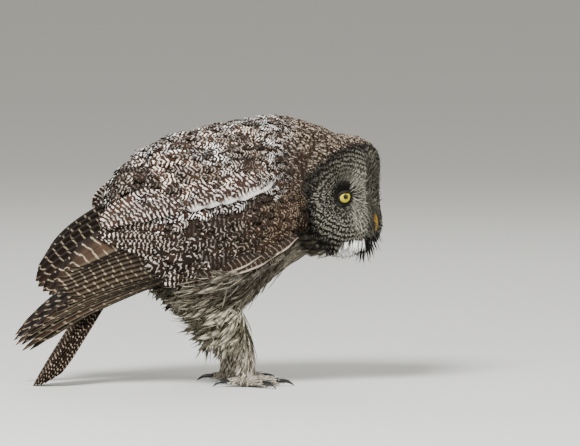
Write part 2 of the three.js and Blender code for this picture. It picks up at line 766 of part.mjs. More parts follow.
const solids = new Map();
const rightLocks = scapulars(RIGHT);
const leftLocks = scapulars(LEFT);
const torsoCore = behind(carved, NECK_CUT);
const bayUnion = wasm.Manifold.union(bays);
const fluff = bellyLocks().map((piece) => piece.subtract(bayUnion));
const torso = fuse(torsoCore, rightLocks, leftLocks, fluff);
solids.set('torso', largest(behind(torso, NECK_CUT).subtract(wasm.Manifold.union([...legsGrown, tailSocket(0)]))));
solids.set('neck', largest(behind(ahead(carved, NECK_CUT), HEAD_CUT)));
solids.set('head', largest(behind(ahead(carved, HEAD_CUT), discPlane)));

const face = ahead(whole, discPlane);
for (const [name, side] of [['right', -1], ['left', 1]]) {
  const eye = eyePlace(side);
  const half = side < 0 ? behind(face, midPlane) : ahead(face, midPlane);
  const dressed = fuse(half, ruff(side), moustache(side), lids(eye));
  const cut = (solid) => ahead(side < 0 ? behind(solid, midPlane) : ahead(solid, midPlane), discPlane);
  const room = wasm.Manifold.union([ball(eye.centre, EYE.radius + GAP, 14, 9), billForm(GAP), lowerBill(GAP)]);
  solids.set(`face_disc_${name}`, largest(cut(dressed).subtract(room)));
  solids.set(`eye_${name}`, ball(eye.centre, EYE.radius, 14, 9));
}
const nostrils = wasm.Manifold.union([nostril(1), nostril(-1)]);
solids.set('bill_upper', largest(ahead(billForm().subtract(nostrils), discPlane)));
solids.set('bill_lower', largest(ahead(lowerBill().subtract(billForm(GAP)), discPlane)));

for (const wing of [RIGHT, LEFT])
  for (const [part, solid] of Object.entries(wingNodes(wing))) solids.set(`wing_${part}_${wing.name}`, solid);
solids.set('tail', tailNode());
for (const leg of LEGS) {
  solids.set(`leg_${leg.name}`, legNode(leg, bodyGrown));
  for (const [name, solid] of Object.entries(footNodes(leg))) solids.set(name, solid);
}

// Colours of the plumage and hard parts
const COLOURS = {
  torso: ['#6f6258', 0.95],
  neck: ['#71655b', 0.95],
  head: ['#685b51', 0.95],
  face: ['#77736e', 0.95],
  eye: ['#d8cf5a', 0.15],
  bill: ['#c9a93c', 0.4],
  wing_coverts: ['#6a5b50', 0.9],
  wing: ['#6b5443', 0.8],
  tail: ['#58483c', 0.85],
  leg: ['#98938a', 0.95],
  foot: ['#8f8b82', 0.95],
  claw: ['#1d1a18', 0.3],
};
const colourOf = (name) => COLOURS[Object.keys(COLOURS).filter((key) => name.startsWith(key)).sort((a, b) => b.length - a.length)[0]];

const body = new THREE.Group();
body.position.x = -MIDDLE;
for (const [name, solid] of solids) {
  const { vertProperties, triVerts, numProp, numVert } = solid.getMesh();
  const positions = new Float32Array(numVert * 3);
  for (let i = 0; i < numVert; i++) positions.set(vertProperties.subarray(i * numProp, i * numProp + 3), i * 3);
  const geometry = new THREE.BufferGeometry();
  geometry.setAttribute('position', new THREE.BufferAttribute(positions, 3));
  geometry.setIndex(new THREE.BufferAttribute(triVerts, 1));
  geometry.computeVertexNormals();
  const [color, roughness] = colourOf(name);
  const mesh = new THREE.Mesh(geometry, new THREE.MeshStandardMaterial({ color, roughness, metalness: 0 }));
  mesh.name = name;
  body.add(mesh);
}
const owl = new THREE.Group();
owl.add(body);

export default owl;
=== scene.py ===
# A great grey owl at life size, in metres, on a plain pale floor. Its shapes are worked out in millimetres
# along the bird's own axes, with the solids' named sizes, and moved into the frame as each mesh is made.
import math
from functools import partial
import bpy
import numpy as np
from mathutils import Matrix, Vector, noise


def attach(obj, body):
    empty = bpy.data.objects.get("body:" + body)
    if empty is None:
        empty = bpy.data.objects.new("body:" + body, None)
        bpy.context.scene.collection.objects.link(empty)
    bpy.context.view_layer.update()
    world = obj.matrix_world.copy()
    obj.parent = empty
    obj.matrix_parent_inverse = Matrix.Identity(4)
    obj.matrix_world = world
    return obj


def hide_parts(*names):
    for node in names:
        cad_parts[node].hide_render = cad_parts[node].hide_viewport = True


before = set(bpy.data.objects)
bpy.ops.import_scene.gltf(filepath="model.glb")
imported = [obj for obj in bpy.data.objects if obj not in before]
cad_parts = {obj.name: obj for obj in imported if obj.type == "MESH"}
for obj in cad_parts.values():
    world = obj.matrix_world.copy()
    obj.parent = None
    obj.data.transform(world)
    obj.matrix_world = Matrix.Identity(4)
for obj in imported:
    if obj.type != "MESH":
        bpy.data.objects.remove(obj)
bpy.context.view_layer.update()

# Trunk: the owl's body leans forward and is nearly level, bone and muscle that the coat hides. It is
# shaped by oval sections from the root of the tail to the breast, the first of the forms that make one
# skin below.
TRUNK_COAT = 7.0  # how deep the feathers lie over it
TRUNK_OVAL = 2.2  # power of its rounded cross section
STATIONS = np.array([  # place along the body, top, bottom and half breadth
    [-184, 266, 226, 16], [-168, 301, 190, 58], [-130, 335, 150, 82], [-90, 354, 112, 93],
    [-45, 367, 84, 98], [0, 376, 106, 98], [40, 380, 142, 93], [80, 375, 169, 83],
    [120, 364, 188, 74], [150, 348, 214, 46],
], float)
forms = []


def mix(a, b, t):
    return a + (b - a) * t


def circle(count):
    return np.linspace(0, 2 * np.pi, count, endpoint=False)


def field(*parts):
    """Points or directions from their x, y and z, each an array or one number."""
    return np.stack(np.broadcast_arrays(*parts), -1)


def through(xs, ys, x):
    """A smooth curve through the points (xs, ys), read at x."""
    order = np.arange(len(xs))
    after, before = np.minimum(order + 1, len(xs) - 1), np.maximum(order - 1, 0)
    slope = (ys[after] - ys[before]) / (xs[after] - xs[before])
    at = np.clip(x, xs[0], xs[-1])
    i = np.clip(np.searchsorted(xs, at) - 1, 0, len(xs) - 2)
    h = xs[i + 1] - xs[i]
    t = (at - xs[i]) / h
    return (
        (2 * t**3 - 3 * t**2 + 1) * ys[i]
        + (t**3 - 2 * t**2 + t) * h * slope[i]
        + (3 * t**2 - 2 * t**3) * ys[i + 1]
        + (t**3 - t**2) * h * slope[i + 1]
    )


def body_point(x, turn):
    top, low, wide = (through(STATIONS[:, 0], STATIONS[:, k], x) for k in (1, 2, 3))
    c, s = np.cos(turn), np.sin(turn)
    y = (wide - TRUNK_COAT) * np.sign(c) * abs(c) ** (2 / TRUNK_OVAL)
    z = (top + low) / 2 + ((top - low) / 2 - TRUNK_COAT) * np.sign(s) * abs(s) ** (2 / TRUNK_OVAL)
    return field(x, y, z)


def closed_grid(rings):
    """Points and faces of a closed skin over rings of points, with a fan over each end."""
    n, m = rings.shape[:2]
    points = np.concatenate([rings.reshape(-1, 3), rings[0].mean(0)[None], rings[-1].mean(0)[None]])
    cell = np.arange(n * m).reshape(n, m)
    after = np.roll(cell, -1, 1)
    sides = np.stack([cell[:-1], after[:-1], after[1:], cell[1:]], -1).reshape(-1, 4)
    ends = field(after[0], cell[0], n * m).tolist() + field(cell[-1], after[-1], n * m + 1).tolist()
    return points, sides.tolist() + ends


closer_at_ends = (1 - np.cos(np.pi * (np.arange(60) + 0.15) / 59.3)) / 2
turns = circle(96)
span = mix(STATIONS[0, 0] + TRUNK_COAT, STATIONS[-1, 0], closer_at_ends)
forms.append(closed_grid(body_point(span[:, None], turns[None])))

# Head: a broad skull under deep feathers, turned 40 degrees to the bird's right, with a flat face and a
# shallow bowl round each eye. Its own frame has x out of the face, y to its left and z up. The short neck
# is hidden.
HEAD_COAT = 4.5
HEAD_CENTRE = np.array([125.0, -5, 255])
YAW = math.radians(40)
FACE_X = np.array([math.cos(YAW), -math.sin(YAW), 0])
FACE_Y = np.array([math.sin(YAW), math.cos(YAW), 0])
HEAD = dict(front=78, back=70, side=86, chin=75, crown=99)
HEAD_PLAN, FACE_UPRIGHT, NAPE_UPRIGHT = 2.5, 2.9, 2.2  # powers of its rounded sections
BOWL = dict(y=34, z=10.5, depth=26, spread=27)
BOWL_FLOOR = 20  # the hollows go no deeper than this


def smooth(x, low, high):
    t = np.clip((np.asarray(x, float) - low) / (high - low), 0, 1)
    return t * t * (3 - 2 * t)


def in_head(p):
    p = np.asarray(p, float)
    return HEAD_CENTRE + p[..., :1] * FACE_X + p[..., 1:2] * FACE_Y + p[..., 2:] * [0, 0, 1]


def head_of(p):
    d = np.asarray(p, float) - HEAD_CENTRE
    return np.stack([d @ FACE_X, d @ FACE_Y, d[..., 2]], -1)


def bowl(y, z):
    reach = (abs(y) - BOWL["y"]) ** 2 + 0.8 * (z - BOWL["z"]) ** 2
    return BOWL["depth"] * np.exp(-reach / (2 * BOWL["spread"] ** 2)) * smooth(abs(y), 0, 26)


def head_point(tilt, turn):
    upright = mix(NAPE_UPRIGHT, FACE_UPRIGHT, smooth(np.cos(turn), -0.4, 0.5))
    level = np.cos(tilt) ** (2 / upright)
    c, s = np.cos(turn), np.sin(turn)
    reach = np.where(c > 0, HEAD["front"], HEAD["back"]) - HEAD_COAT
    x = level * reach * np.sign(c) * abs(c) ** (2 / HEAD_PLAN)
    y = level * (HEAD["side"] - HEAD_COAT) * np.sign(s) * abs(s) ** (2 / HEAD_PLAN)
    high = np.where(tilt > 0, HEAD["crown"] - HEAD_COAT, HEAD_COAT - HEAD["chin"])
    z = high * abs(np.sin(tilt)) ** (2 / upright)
    x = np.where(x > BOWL_FLOOR, np.maximum(x - bowl(y, z), BOWL_FLOOR + 0.5), x)
    return in_head(field(x, y, z))


tilts = np.pi * (np.arange(64) + 0.25) / 63.5 - np.pi / 2
forms.append(closed_grid(head_point(tilts[:, None], turns[None])))

# Arms of the folded wings: muscle under a soft pad of coverts, on a curved surface beside the body. The
# wings droop a little and the left one is held higher. Outlines are given over the side view as (x, z).
PAD_COAT = 3.5
STACK, LAYER = 27, 1.35  # depth of the folded feathers under the pad, and of one of them
COVERT_LOWER = [[82, 247], [80, 226], [60, 200], [31, 180], [-21, 161], [-77, 147]]
COVERT_UPPER = [[82, 249], [76, 268], [45, 279], [-7, 267], [-63, 248], [-122, 226]]
WINGS = (
    dict(name="right", side=-1, lift=(0, 0),
         secondary=[[-240, 126], [-258, 138], [-265, 152], [-243, 172]],
         primary=[[-249, 116], [-286, 84], [-308, 60], [-299, 41], [-249, 71]]),
    dict(name="left", side=1, lift=(8, 26),
         secondary=[[-246, 116], [-272, 126], [-284, 146], [-266, 172]],
         primary=[[-262, 112], [-298, 84], [-316, 60], [-306, 46], [-262, 70]]),
)


def unit(v):
    return v / np.maximum(np.linalg.norm(v, axis=-1, keepdims=True), 1e-9)


def lift_of(wing, x):
    return mix(*wing["lift"], smooth(x, -300, -110))


def soft_step(x, width):
    return width * np.log1p(np.exp(np.asarray(x, float) / width))


def wing_surface(wing, x, z):
    reach = 89 - 0.145 * soft_step(-(x + 55), 25) - 0.25 * soft_step(x - 45, 15)
    middle = 236 - 0.55 * soft_step(-(x + 90), 30)
    half = 150 - 0.16 * soft_step(-(x + 90), 30)
    off = np.clip((z - lift_of(wing, x) - middle) / half, -0.96, 0.96)
    return field(x, wing["side"] * reach * np.sqrt(1 - off**2), z)


def outward(normal, wing):
    return np.where(normal[..., 1:2] * wing["side"] < 0, -normal, normal)


def on_wing(wing, x, z, h):
    """The point h outside the wing's surface at (x, z) of the side view."""
    x, z, h = np.broadcast_arrays(np.asarray(x, float), np.asarray(z, float), np.asarray(h, float))
    here = wing_surface(wing, x, z)
    normal = unit(np.cross(wing_surface(wing, x + 2, z) - here, wing_surface(wing, x, z + 2) - here))
    return here + h[..., None] * outward(normal, wing)


def spline(points, t):
    p = np.asarray(points, float)
    n = len(p)
    at = (n - 1) * np.asarray(t, float)
    i = np.minimum(np.floor(at).astype(int), n - 1)
    w = (at - i)[..., None]
    a, b = p[np.maximum(i - 1, 0)], p[i]
    c, d = p[np.minimum(i + 1, n - 1)], p[np.minimum(i + 2, n - 1)]
    v0, v1 = (c - a) / 2, (d - b) / 2
    return (2 * b - 2 * c + v0 + v1) * w**3 + (-3 * b + 3 * c - 2 * v0 - v1) * w**2 + v0 * w + b


def swell(s, t):
    """How proud the pad stands, s from the wrist back and t up from its lower edge."""
    dome = np.sin(np.pi * np.clip(t, 0, 1)) ** 0.8
    return 0.9 + 8.5 * dome * mix(1, 0.45, smooth(s, 0.4, 1)) * mix(1, 0.5, smooth(t, 0.5, 1))


def pad_point(wing, s, t, h):
    at = mix(spline(COVERT_LOWER, s), spline(COVERT_UPPER, s), t[..., None])
    return on_wing(wing, at[..., 0], at[..., 1] + lift_of(wing, at[..., 0]), h)


for wing in WINGS:
    up = np.linspace(0.03, 0.97, 24)
    around = np.concatenate([up, np.linspace(0.97, 0.03, 24)])
    outer = np.arange(len(around)) < len(up)
    rings = []
    for s in np.linspace(0.0, 1, 40):
        h = np.where(outer, swell(s, around) - PAD_COAT, -STACK - 4.0)
        rings.append(pad_point(wing, s + 0 * around, around, h))
    forms.append(closed_grid(np.array(rings)))

# Legs and feet: thin shanks in a thick coat, a ball at the ankle and four toes, three forward and one
# back. They are feathered down to the claws and stand flat on the floor.
LEG_COAT = 4.0
LEGS = [
    dict(name="right", side=-1, ankle=np.array([4.0, -40, 17])),
    dict(name="left", side=1, ankle=np.array([-10.0, 40, 17])),
]
TOES = [("inner", -26, 40), ("middle", 4, 45), ("outer", 52, 38), ("hind", 172, 25)]  # name, heading, length


def ring_path(path, radii, sides=24):
    """Rings of points round a path, one at each of its points."""
    path = np.asarray(path, float)
    turn = circle(sides)[:, None]
    rings = []
    for i, p in enumerate(path):
        along = unit(path[min(i + 1, len(path) - 1)] - path[max(i - 1, 0)])
        level = unit(np.cross([0, 0, 1.0], along))
        across = np.array([0, 1.0, 0]) if abs(along[2]) > 0.9 else level
        up = unit(np.cross(along, across))
        rings.append(p + radii[i] * (np.cos(turn) * np.cross(up, along) + np.sin(turn) * up))
    return np.array(rings)


def toe_point(leg, heading, away, z):
    turn = math.radians(heading) * leg["side"]
    return leg["ankle"] * [1, 1, 0] + np.array([math.cos(turn), math.sin(turn), 0]) * away + [0, 0, z]


turn = circle(24)
tilt = np.linspace(-1.4, 1.4, 10)[:, None]
level = np.cos(tilt)
ball = field(13 * level * np.cos(turn), 12 * level * np.sin(turn), 10.5 + 8.5 * np.sin(tilt))
for leg in LEGS:
    x, side = leg["ankle"][0], leg["side"]
    path = [[x - 30, side * 36, 130], [x - 16, side * 39, 78], [x - 3, side * 40, 42], [x, side * 40, 12]]
    forms.append(closed_grid(ring_path(path, np.array([24, 20.5, 16, 13.5]) - LEG_COAT)))
    for _, heading, length in TOES:
        knuckles = [(3, 9), (length * 0.45, 8), (length * 0.8, 7.4), (length - 1, 7.4)]
        path = [toe_point(leg, heading, away, z) for away, z in knuckles]
        forms.append(closed_grid(ring_path(path, np.array([8.4, 6.8, 6.0, 4.4]))))
    forms.append(closed_grid(leg["ankle"] * [1, 1, 0] + ball))

# Skin: all the forms above joined by one voxel remesh and smoothed, so that no seam shows where the coat
# parts. It replaces every solid of flesh, carries the roots of the small feathers, and shares their
# colours: wavy pale bars of keratin on brown, and grey rings on the face.
MIDDLE = -55.8  # where the frame's origin lies along the bird's own length
FLOOR_GAP = 0.05  # nothing comes nearer to the floor than this
VOXEL = 0.0024  # metres
FLESH = ["torso", "neck", "head", "face_disc_right", "face_disc_left", "leg_right", "leg_left", "foot_right",
         "foot_left"]
RIM = dict(y=83, up=76, down=67)  # half sizes of the facial discs' outline
EYE_SIDE, EYE_HIGH = 37, 11  # where the rings of the face are centred
RING_SPACING = 6.4
SKIN_SHADE = 0.6  # the skin lies in the coat's shade


def to_frame(points):
    return (np.asarray(points, float).reshape(-1, 3) - [MIDDLE, 0, 0]) / 1000


def link_mesh(name, mesh):
    mesh.polygons.foreach_set("use_smooth", [True] * len(mesh.polygons))
    made = bpy.data.objects.new(name, mesh)
    bpy.context.scene.collection.objects.link(made)
    return made


def make_object(name, points, faces):
    points = np.array(points, float).reshape(-1, 3)
    points[:, 2] = np.maximum(points[:, 2], FLOOR_GAP)
    mesh = bpy.data.meshes.new(name)
    mesh.from_pydata(to_frame(points).tolist(), [], faces)
    return link_mesh(name, mesh)


def read(items, name, width, kind=float):
    flat = np.zeros(len(items) * width, kind)
    items.foreach_get(name, flat)
    return flat.reshape(-1, width)


def add_colours(made, **values):
    for name, value in values.items():
        layer = made.data.attributes.new(name, "FLOAT_COLOR", "POINT")
        full = np.ones((len(value), 4))
        full[:, : value.shape[1]] = value
        layer.data.foreach_set("color", full.ravel())


def dress(made, material, nodes=()):
    made.data.materials.append(material)
    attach(made, "root")
    if nodes:
        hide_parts(*nodes)


def tone(red, green, blue, depth=1.25):
    """A colour of the plumage as seen in daylight, deepened for the studio."""
    c = np.array([red, green, blue]) / 255
    return np.where(c <= 0.04045, c / 12.92, ((c + 0.055) / 1.055) ** 2.4) ** depth


def patches(points, size, seed=0.0):
    return np.array([noise.noise(Vector(p) / size + Vector((seed, 0, 0))) for p in points.tolist()])


def rim_of(h):
    """1 on the facial discs' outline, less inside it."""
    rise = np.where(h[:, 2] > 0, RIM["up"], RIM["down"])
    return ((abs(h[:, 1]) / RIM["y"]) ** 2.4 + (abs(h[:, 2]) / rise) ** 2.4) ** (1 / 2.4)


def eye_distance(h):
    return np.hypot(abs(h[:, 1]) - EYE_SIDE, h[:, 2] - EYE_HIGH)


def over_wing(p, reach=0):
    """The part of the skin that the wings cover."""
    x, y, z = p.T
    low = np.interp(x, [-140, -77, -21, 31, 60, 82], [138, 149, 164, 184, 204, 238])
    high = np.interp(x, [-140, -122, -63, -7, 45, 76, 84], [226, 226, 248, 267, 279, 270, 250])
    hidden = np.zeros(len(p), bool)
    for wing in WINGS:
        level = z - lift_of(wing, x)
        hidden |= (y * wing["side"] > 40) & (level > low - reach) & (level < high - 6) & (x < 84)
    return hidden


def over(coat, share, ground, line, power=None):
    """Another part's ground, marks and strength, laid over the coat's by its share of each point."""
    base, mark, strength = coat
    power = strength if power is None else power
    return mix(base, ground, share[:, None]), mix(mark, line, share[:, None]), mix(strength, power, share)


def face_marks(h):
    """The face: grey rings, pale lores and brows, black round the eye and on the chin, a white moustache."""
    near, side, high = eye_distance(h), abs(h[:, 1]), h[:, 2]
    light = smooth(high, 0, 45)[:, None]
    base = mix(tone(40, 38, 33), tone(48, 46, 40), light)
    mark = mix(tone(142, 139, 128), tone(128, 125, 113), light)
    lores = smooth(side, 36, 20) * smooth(side, 2, 9) * smooth(high, -52, -30) * smooth(high, 66, 30)
    base = mix(base, tone(100, 98, 88), 0.7 * lores[:, None])
    mark = mix(mark, tone(160, 157, 146), lores[:, None])
    brow = np.exp(-(((near - 27) / 7) ** 2)) * smooth(high, 10, 26) * smooth(side, 52, 34)
    base = mix(base, tone(128, 126, 118), 0.6 * brow[:, None])
    lid = np.hypot((side - 33) / 20, (high - 16) / 15)
    dark = smooth(near, 15, 11) + smooth(lid, 1.15, 0.75) * smooth(high, 6, 12)
    dark = dark + smooth(np.hypot((side - 22) / 9, (high - 10) / 9), 1.2, 0.6)
    dark = dark + 0.55 * smooth(side, 5, 1) * smooth(high, -20, 0)
    dark = dark + smooth(side, 6, 4) * smooth(high, -30, -38)
    coat = over((base, mark, 0.9), np.clip(dark, 0, 1), tone(22, 20, 19), tone(60, 57, 53))
    white = smooth(high, -46, -51) * smooth(side, 4, 6) * smooth(side, 46, 38)
    return over(coat, white, tone(236, 234, 228), tone(200, 196, 188)), white


def markings(p):
    """Ground colour, mark colour, strength of the marks and share of the face, for each point of the bird."""
    x, z = p[:, 0], p[:, 2]
    h = head_of(p)
    rim = rim_of(h)
    face = smooth(h[:, 0], 2, 12) * smooth(rim, 1.03, 0.99)
    blotch = patches(p, 16.0)
    wide = patches(p, 40.0, 7.0)
    # upper parts: brown with pale vermiculation, broken by plain dark patches
    base = mix(tone(44, 31, 21), tone(76, 57, 42), smooth(blotch, -0.3, 0.4)[:, None])
    mark = mix(tone(244, 234, 220), tone(255, 253, 248, 1.0), smooth(wide, -0.3, 0.3)[:, None])
    coat = base, mark, mix(0.3, 1.05, smooth(blotch + 0.6 * wide, -0.3, 0.15))
    # crown and nape: small buff flecks, fainter on the nape
    base, mark, strength = over(coat, smooth(x, 40, 95), tone(56, 42, 30), tone(238, 222, 202), 0.72)
    nape = smooth(x, 40, 60) * smooth(x, 100, 80) * smooth(z, 345, 320)
    coat = base, mark, strength * (1 - 0.5 * nape)
    # throat, breast and flanks: soft grey with darker blotches
    under = np.clip(smooth(z, 236, 206) * smooth(x, 30, 60) + smooth(z, 190, 160) * smooth(x, 70, 40), 0, 1)
    grey = mix(tone(84, 78, 68), tone(150, 144, 130), smooth(blotch, -0.2, 0.25)[:, None])
    coat = over(coat, under, grey, tone(60, 52, 46), 0.5)
    # belly: pale and loose, with dark streaks, and legs
    pale = mix(tone(112, 106, 90), tone(180, 175, 158), smooth(blotch, -0.25, 0.1)[:, None])
    coat = over(coat, smooth(z, 150, 118) * smooth(x, 60, 20), pale, tone(70, 62, 50), 0.7)
    coat = over(coat, smooth(z, 80, 60), tone(186, 179, 166), tone(84, 74, 65))
    # the face, and the dark edge of its discs
    disc_coat, white = face_marks(h)
    base, mark, strength = over(coat, face, *disc_coat)
    edge = smooth(h[:, 0], -4, 8) * np.exp(-(((rim - 0.965) / 0.065) ** 2)) * (1 - white)
    return mix(base, tone(20, 15, 13), 0.95 * edge[:, None]), mark, strength * (1 - 0.85 * edge), face


class Wire:
    """A socket of a shader's tree. Operators add Math nodes, and node() adds any other kind."""

    def __init__(self, tree, socket=None):
        self.tree = tree
        self.socket = socket

    def feed(self, node, sockets):
        for name, value in sockets.items():
            if isinstance(value, Wire):
                self.tree.links.new(value.socket, node.inputs[name])
            else:
                node.inputs[name].default_value = value

    def node(self, kind, settings, sockets, output=0):
        made = self.tree.nodes.new("ShaderNode" + kind)
        for name, value in settings.items():
            setattr(made, name, value)
        self.feed(made, sockets)
        return Wire(self.tree, made.outputs[output])

    def beside(self, output):
        """Another output of the same node."""
        return Wire(self.tree, self.socket.node.outputs[output])

    def carried(self, attribute, output="Color"):
        """What each point of the mesh carries under an attribute's name."""
        return self.node("Attribute", {"attribute_name": attribute}, {}, output)

    def maths(self, operation, *values):
        return self.node("Math", {"operation": operation}, dict(enumerate(values)))

    def __add__(self, other):
        return self.maths("ADD", self, other)

    def __sub__(self, other):
        return self.maths("SUBTRACT", self, other)

    def __rsub__(self, other):
        return self.maths("SUBTRACT", other, self)

    def __mul__(self, other):
        return self.maths("MULTIPLY", self, other)

    __radd__ = __add__
    __rmul__ = __mul__

    def __abs__(self):
        return self.maths("ABSOLUTE", self)

    def wave(self):
        """0 to 1 and back, once for each whole number."""
        return self.maths("SINE", self * (2 * math.pi)) * 0.5 + 0.5

    def rise(self, low, high):
        ends = {"Value": self, "From Min": low, "From Max": high}
        return self.node("MapRange", {"interpolation_type": "SMOOTHSTEP"}, ends, "Result")

    def painted(self, colour, amount):
        return self.node("Mix", {"data_type": "RGBA"}, {0: amount, 6: self, 7: colour}, 2)


def new_material(name):
    material = bpy.data.materials.new(name)
    material.use_nodes = True
    return material, Wire(material.node_tree), material.node_tree.nodes["Principled BSDF"]


def plumage_material(name, warp, scale, barbs, rough, chevron, gaps, shaft_width=0.12, rim=0.0):
    """Bars, shaft and barbs, with painted shade towards the root and, where rim is given, painted shade along
    both edges. A pattern is the bars' phase, width and strength, and the shaft's strength.
    """
    material, paint, shader = new_material(name)
    place = paint.node("TexCoord", {}, {}, "Object")

    def noisy(size, detail):
        return paint.node("TexNoise", {}, {"Vector": place, "Scale": size, "Detail": detail})

    pattern = paint.carried("pattern")
    phase = paint.node("SeparateColor", {}, {0: pattern})
    width, strength = phase.beside(1), phase.beside(2)
    along = paint.node("SeparateXYZ", {}, {0: paint.carried("vane", "Vector")})
    off = abs(along.beside(1) - 0.5)
    bent = phase - off * (2 * chevron)
    bent = bent + (noisy(scale, 2.0) - 0.5) * (2 * warp) + (noisy(scale * 3.1, 1.0) - 0.5) * (0.7 * warp)
    edge = 1 - width
    bars = bent.wave().rise(edge - 0.08, edge + 0.08) * strength * noisy(scale * 0.8, 2.0).rise(*gaps)
    shaft = off.rise(shaft_width, shaft_width * 0.3) * pattern.beside("Alpha")
    fine = (off * barbs + along * -9.0).wave()
    colour = paint.carried("base").painted(paint.carried("mark"), bars)
    colour = colour.painted((0.012, 0.009, 0.007, 1), shaft * 0.7)
    # fine barb lines, which are the keratin's own, and painted shade towards the root, where the feather
    # before lies over it
    colour = colour.painted((0.01, 0.008, 0.006, 1), fine * 0.12 + along.rise(0.4, 0.0) * 0.4)
    # rim: painted shade along both edges of the vane, for the dark gaps between folded vanes
    if rim:
        colour = colour.painted((0.006, 0.004, 0.003, 1), off.rise(0.4, 0.47) * rim)
    bump = paint.node("Bump", {}, {"Strength": 0.25, "Distance": 0.0004, "Height": fine})
    paint.feed(shader, {"Base Color": colour, "Normal": bump, "Roughness": rough, "Specular IOR Level": 0.12})
    return material


contour = plumage_material("contour_plumage", warp=0.42, scale=230.0, barbs=22.0, rough=0.8, chevron=1.0,
                           gaps=(0.43, 0.5))
points, faces = [], []
for p, f in forms:
    offset = sum(len(q) for q in points)
    faces += [[v + offset for v in face] for face in f]
    points.append(p)
rough = make_object("rough", np.concatenate(points), faces)
remesh = rough.modifiers.new("Remesh", "REMESH")
remesh.mode, remesh.voxel_size = "VOXEL", VOXEL
relax = rough.modifiers.new("Smooth", "SMOOTH")
relax.factor, relax.iterations = 0.5, 10
skin_mesh = bpy.data.meshes.new_from_object(rough.evaluated_get(bpy.context.evaluated_depsgraph_get()))
bpy.data.objects.remove(rough)
skin_mesh.name = "skin"
skin = link_mesh("skin", skin_mesh)
bpy.context.view_layer.objects.active = skin
bpy.ops.object.select_all(action="DESELECT")
skin.select_set(True)
bpy.ops.object.mode_set(mode="EDIT")
bpy.ops.mesh.select_all(action="SELECT")
bpy.ops.mesh.quads_convert_to_tris()
bpy.ops.uv.smart_project(angle_limit=math.radians(60), island_margin=0.004)
bpy.ops.object.mode_set(mode="OBJECT")
skin_mesh.uv_layers[0].name = "OFBake"
skin_at = read(skin_mesh.vertices, "co", 3) * 1000 + [MIDDLE, 0, 0]
skin_normal = read(skin_mesh.vertices, "normal", 3)
skin_tris = read(skin_mesh.polygons, "vertices", 3, int)
skin_uv = read(skin_mesh.uv_layers[0].data, "uv", 2).reshape(-1, 3, 2)
base, mark, strength, face = markings(skin_at)
base[over_wing(skin_at, 9)] = tone(58, 44, 32)
phase = mix(skin_at[:, 0] / 6.0, eye_distance(head_of(skin_at)) / RING_SPACING, face)
pattern = field(phase, 0.35, strength * mix(0.12, 1, face), 0)
add_colours(skin, base=base * SKIN_SHADE, mark=mark * SKIN_SHADE, pattern=pattern)
vane_layer = skin_mesh.uv_layers.new(name="vane")
vane_layer.data.foreach_set("uv", np.tile([0.8, 0.25], len(skin_mesh.loops)))
skin_mesh.materials.clear()
dress(skin, contour, FLESH)

# Back and mantle: broad soft feathers of keratin, rooted in the skin and lapped like tiles towards the
# tail. Each is a closed thin vane with a dark shaft and wavy pale bars. About a third are plainer and
# darker.
LEG_TOP = 74
NEAREST = [(a, b, c) for a in (-1, 0, 1) for b in (-1, 0, 1) for c in (-1, 0, 1)]
BROAD = [0.25, 0.6, 1, 0.95, 0.67, 0.1925]  # a vane's width from root to tip
UV_PATCH = 0.003  # the share of the skin's map that a small feather takes


def quads(cell, order):
    corners = np.stack([cell[:-1, :-1], cell[:-1, 1:], cell[1:, 1:], cell[1:, :-1]], -1)
    return corners.reshape(-1, 4)[:, order]


def scatter(keep, gap, seed):
    """Seeded points on the skin, thinned so that none is nearer to another than the gap."""
    draw = np.random.default_rng(seed)
    corners = skin_at[skin_tris]
    chosen = np.flatnonzero(keep(corners.mean(1)))
    a, b, c = (corners[chosen, k] for k in range(3))
    area = np.linalg.norm(np.cross(b - a, c - a), axis=1) / 2
    wanted = int(area.sum() / gap**2 * 4)
    tri = chosen[draw.choice(len(chosen), wanted, p=area / area.sum())]
    r, q = np.sqrt(draw.random(wanted)), draw.random(wanted)
    weight = np.stack([1 - r, r * (1 - q), r * q], -1)
    at = np.einsum("nk,nkd->nd", weight, skin_at[skin_tris[tri]])
    cells, kept = {}, []
    for i, (p, c) in enumerate(zip(at.tolist(), np.floor(at / gap).astype(int).tolist())):
        around = (q for d in NEAREST for q in cells.get((c[0] + d[0], c[1] + d[1], c[2] + d[2]), ()))
        if all((p[0] - q[0]) ** 2 + (p[1] - q[1]) ** 2 + (p[2] - q[2]) ** 2 >= gap * gap for q in around):
            cells.setdefault(tuple(c), []).append(p)
            kept.append(i)
    normal = unit(np.einsum("nk,nkd->nd", weight[kept], skin_normal[skin_tris[tri[kept]]]))
    return at[kept], normal, np.einsum("nk,nkd->nd", weight[kept], skin_uv[tri[kept]])


def add_uv(made, name, per_point):
    corner = read(made.data.loops, "vertex_index", 1, int)[:, 0]
    layer = made.data.uv_layers.new(name=name)
    layer.data.foreach_set("uv", np.asarray(per_point)[corner].ravel())


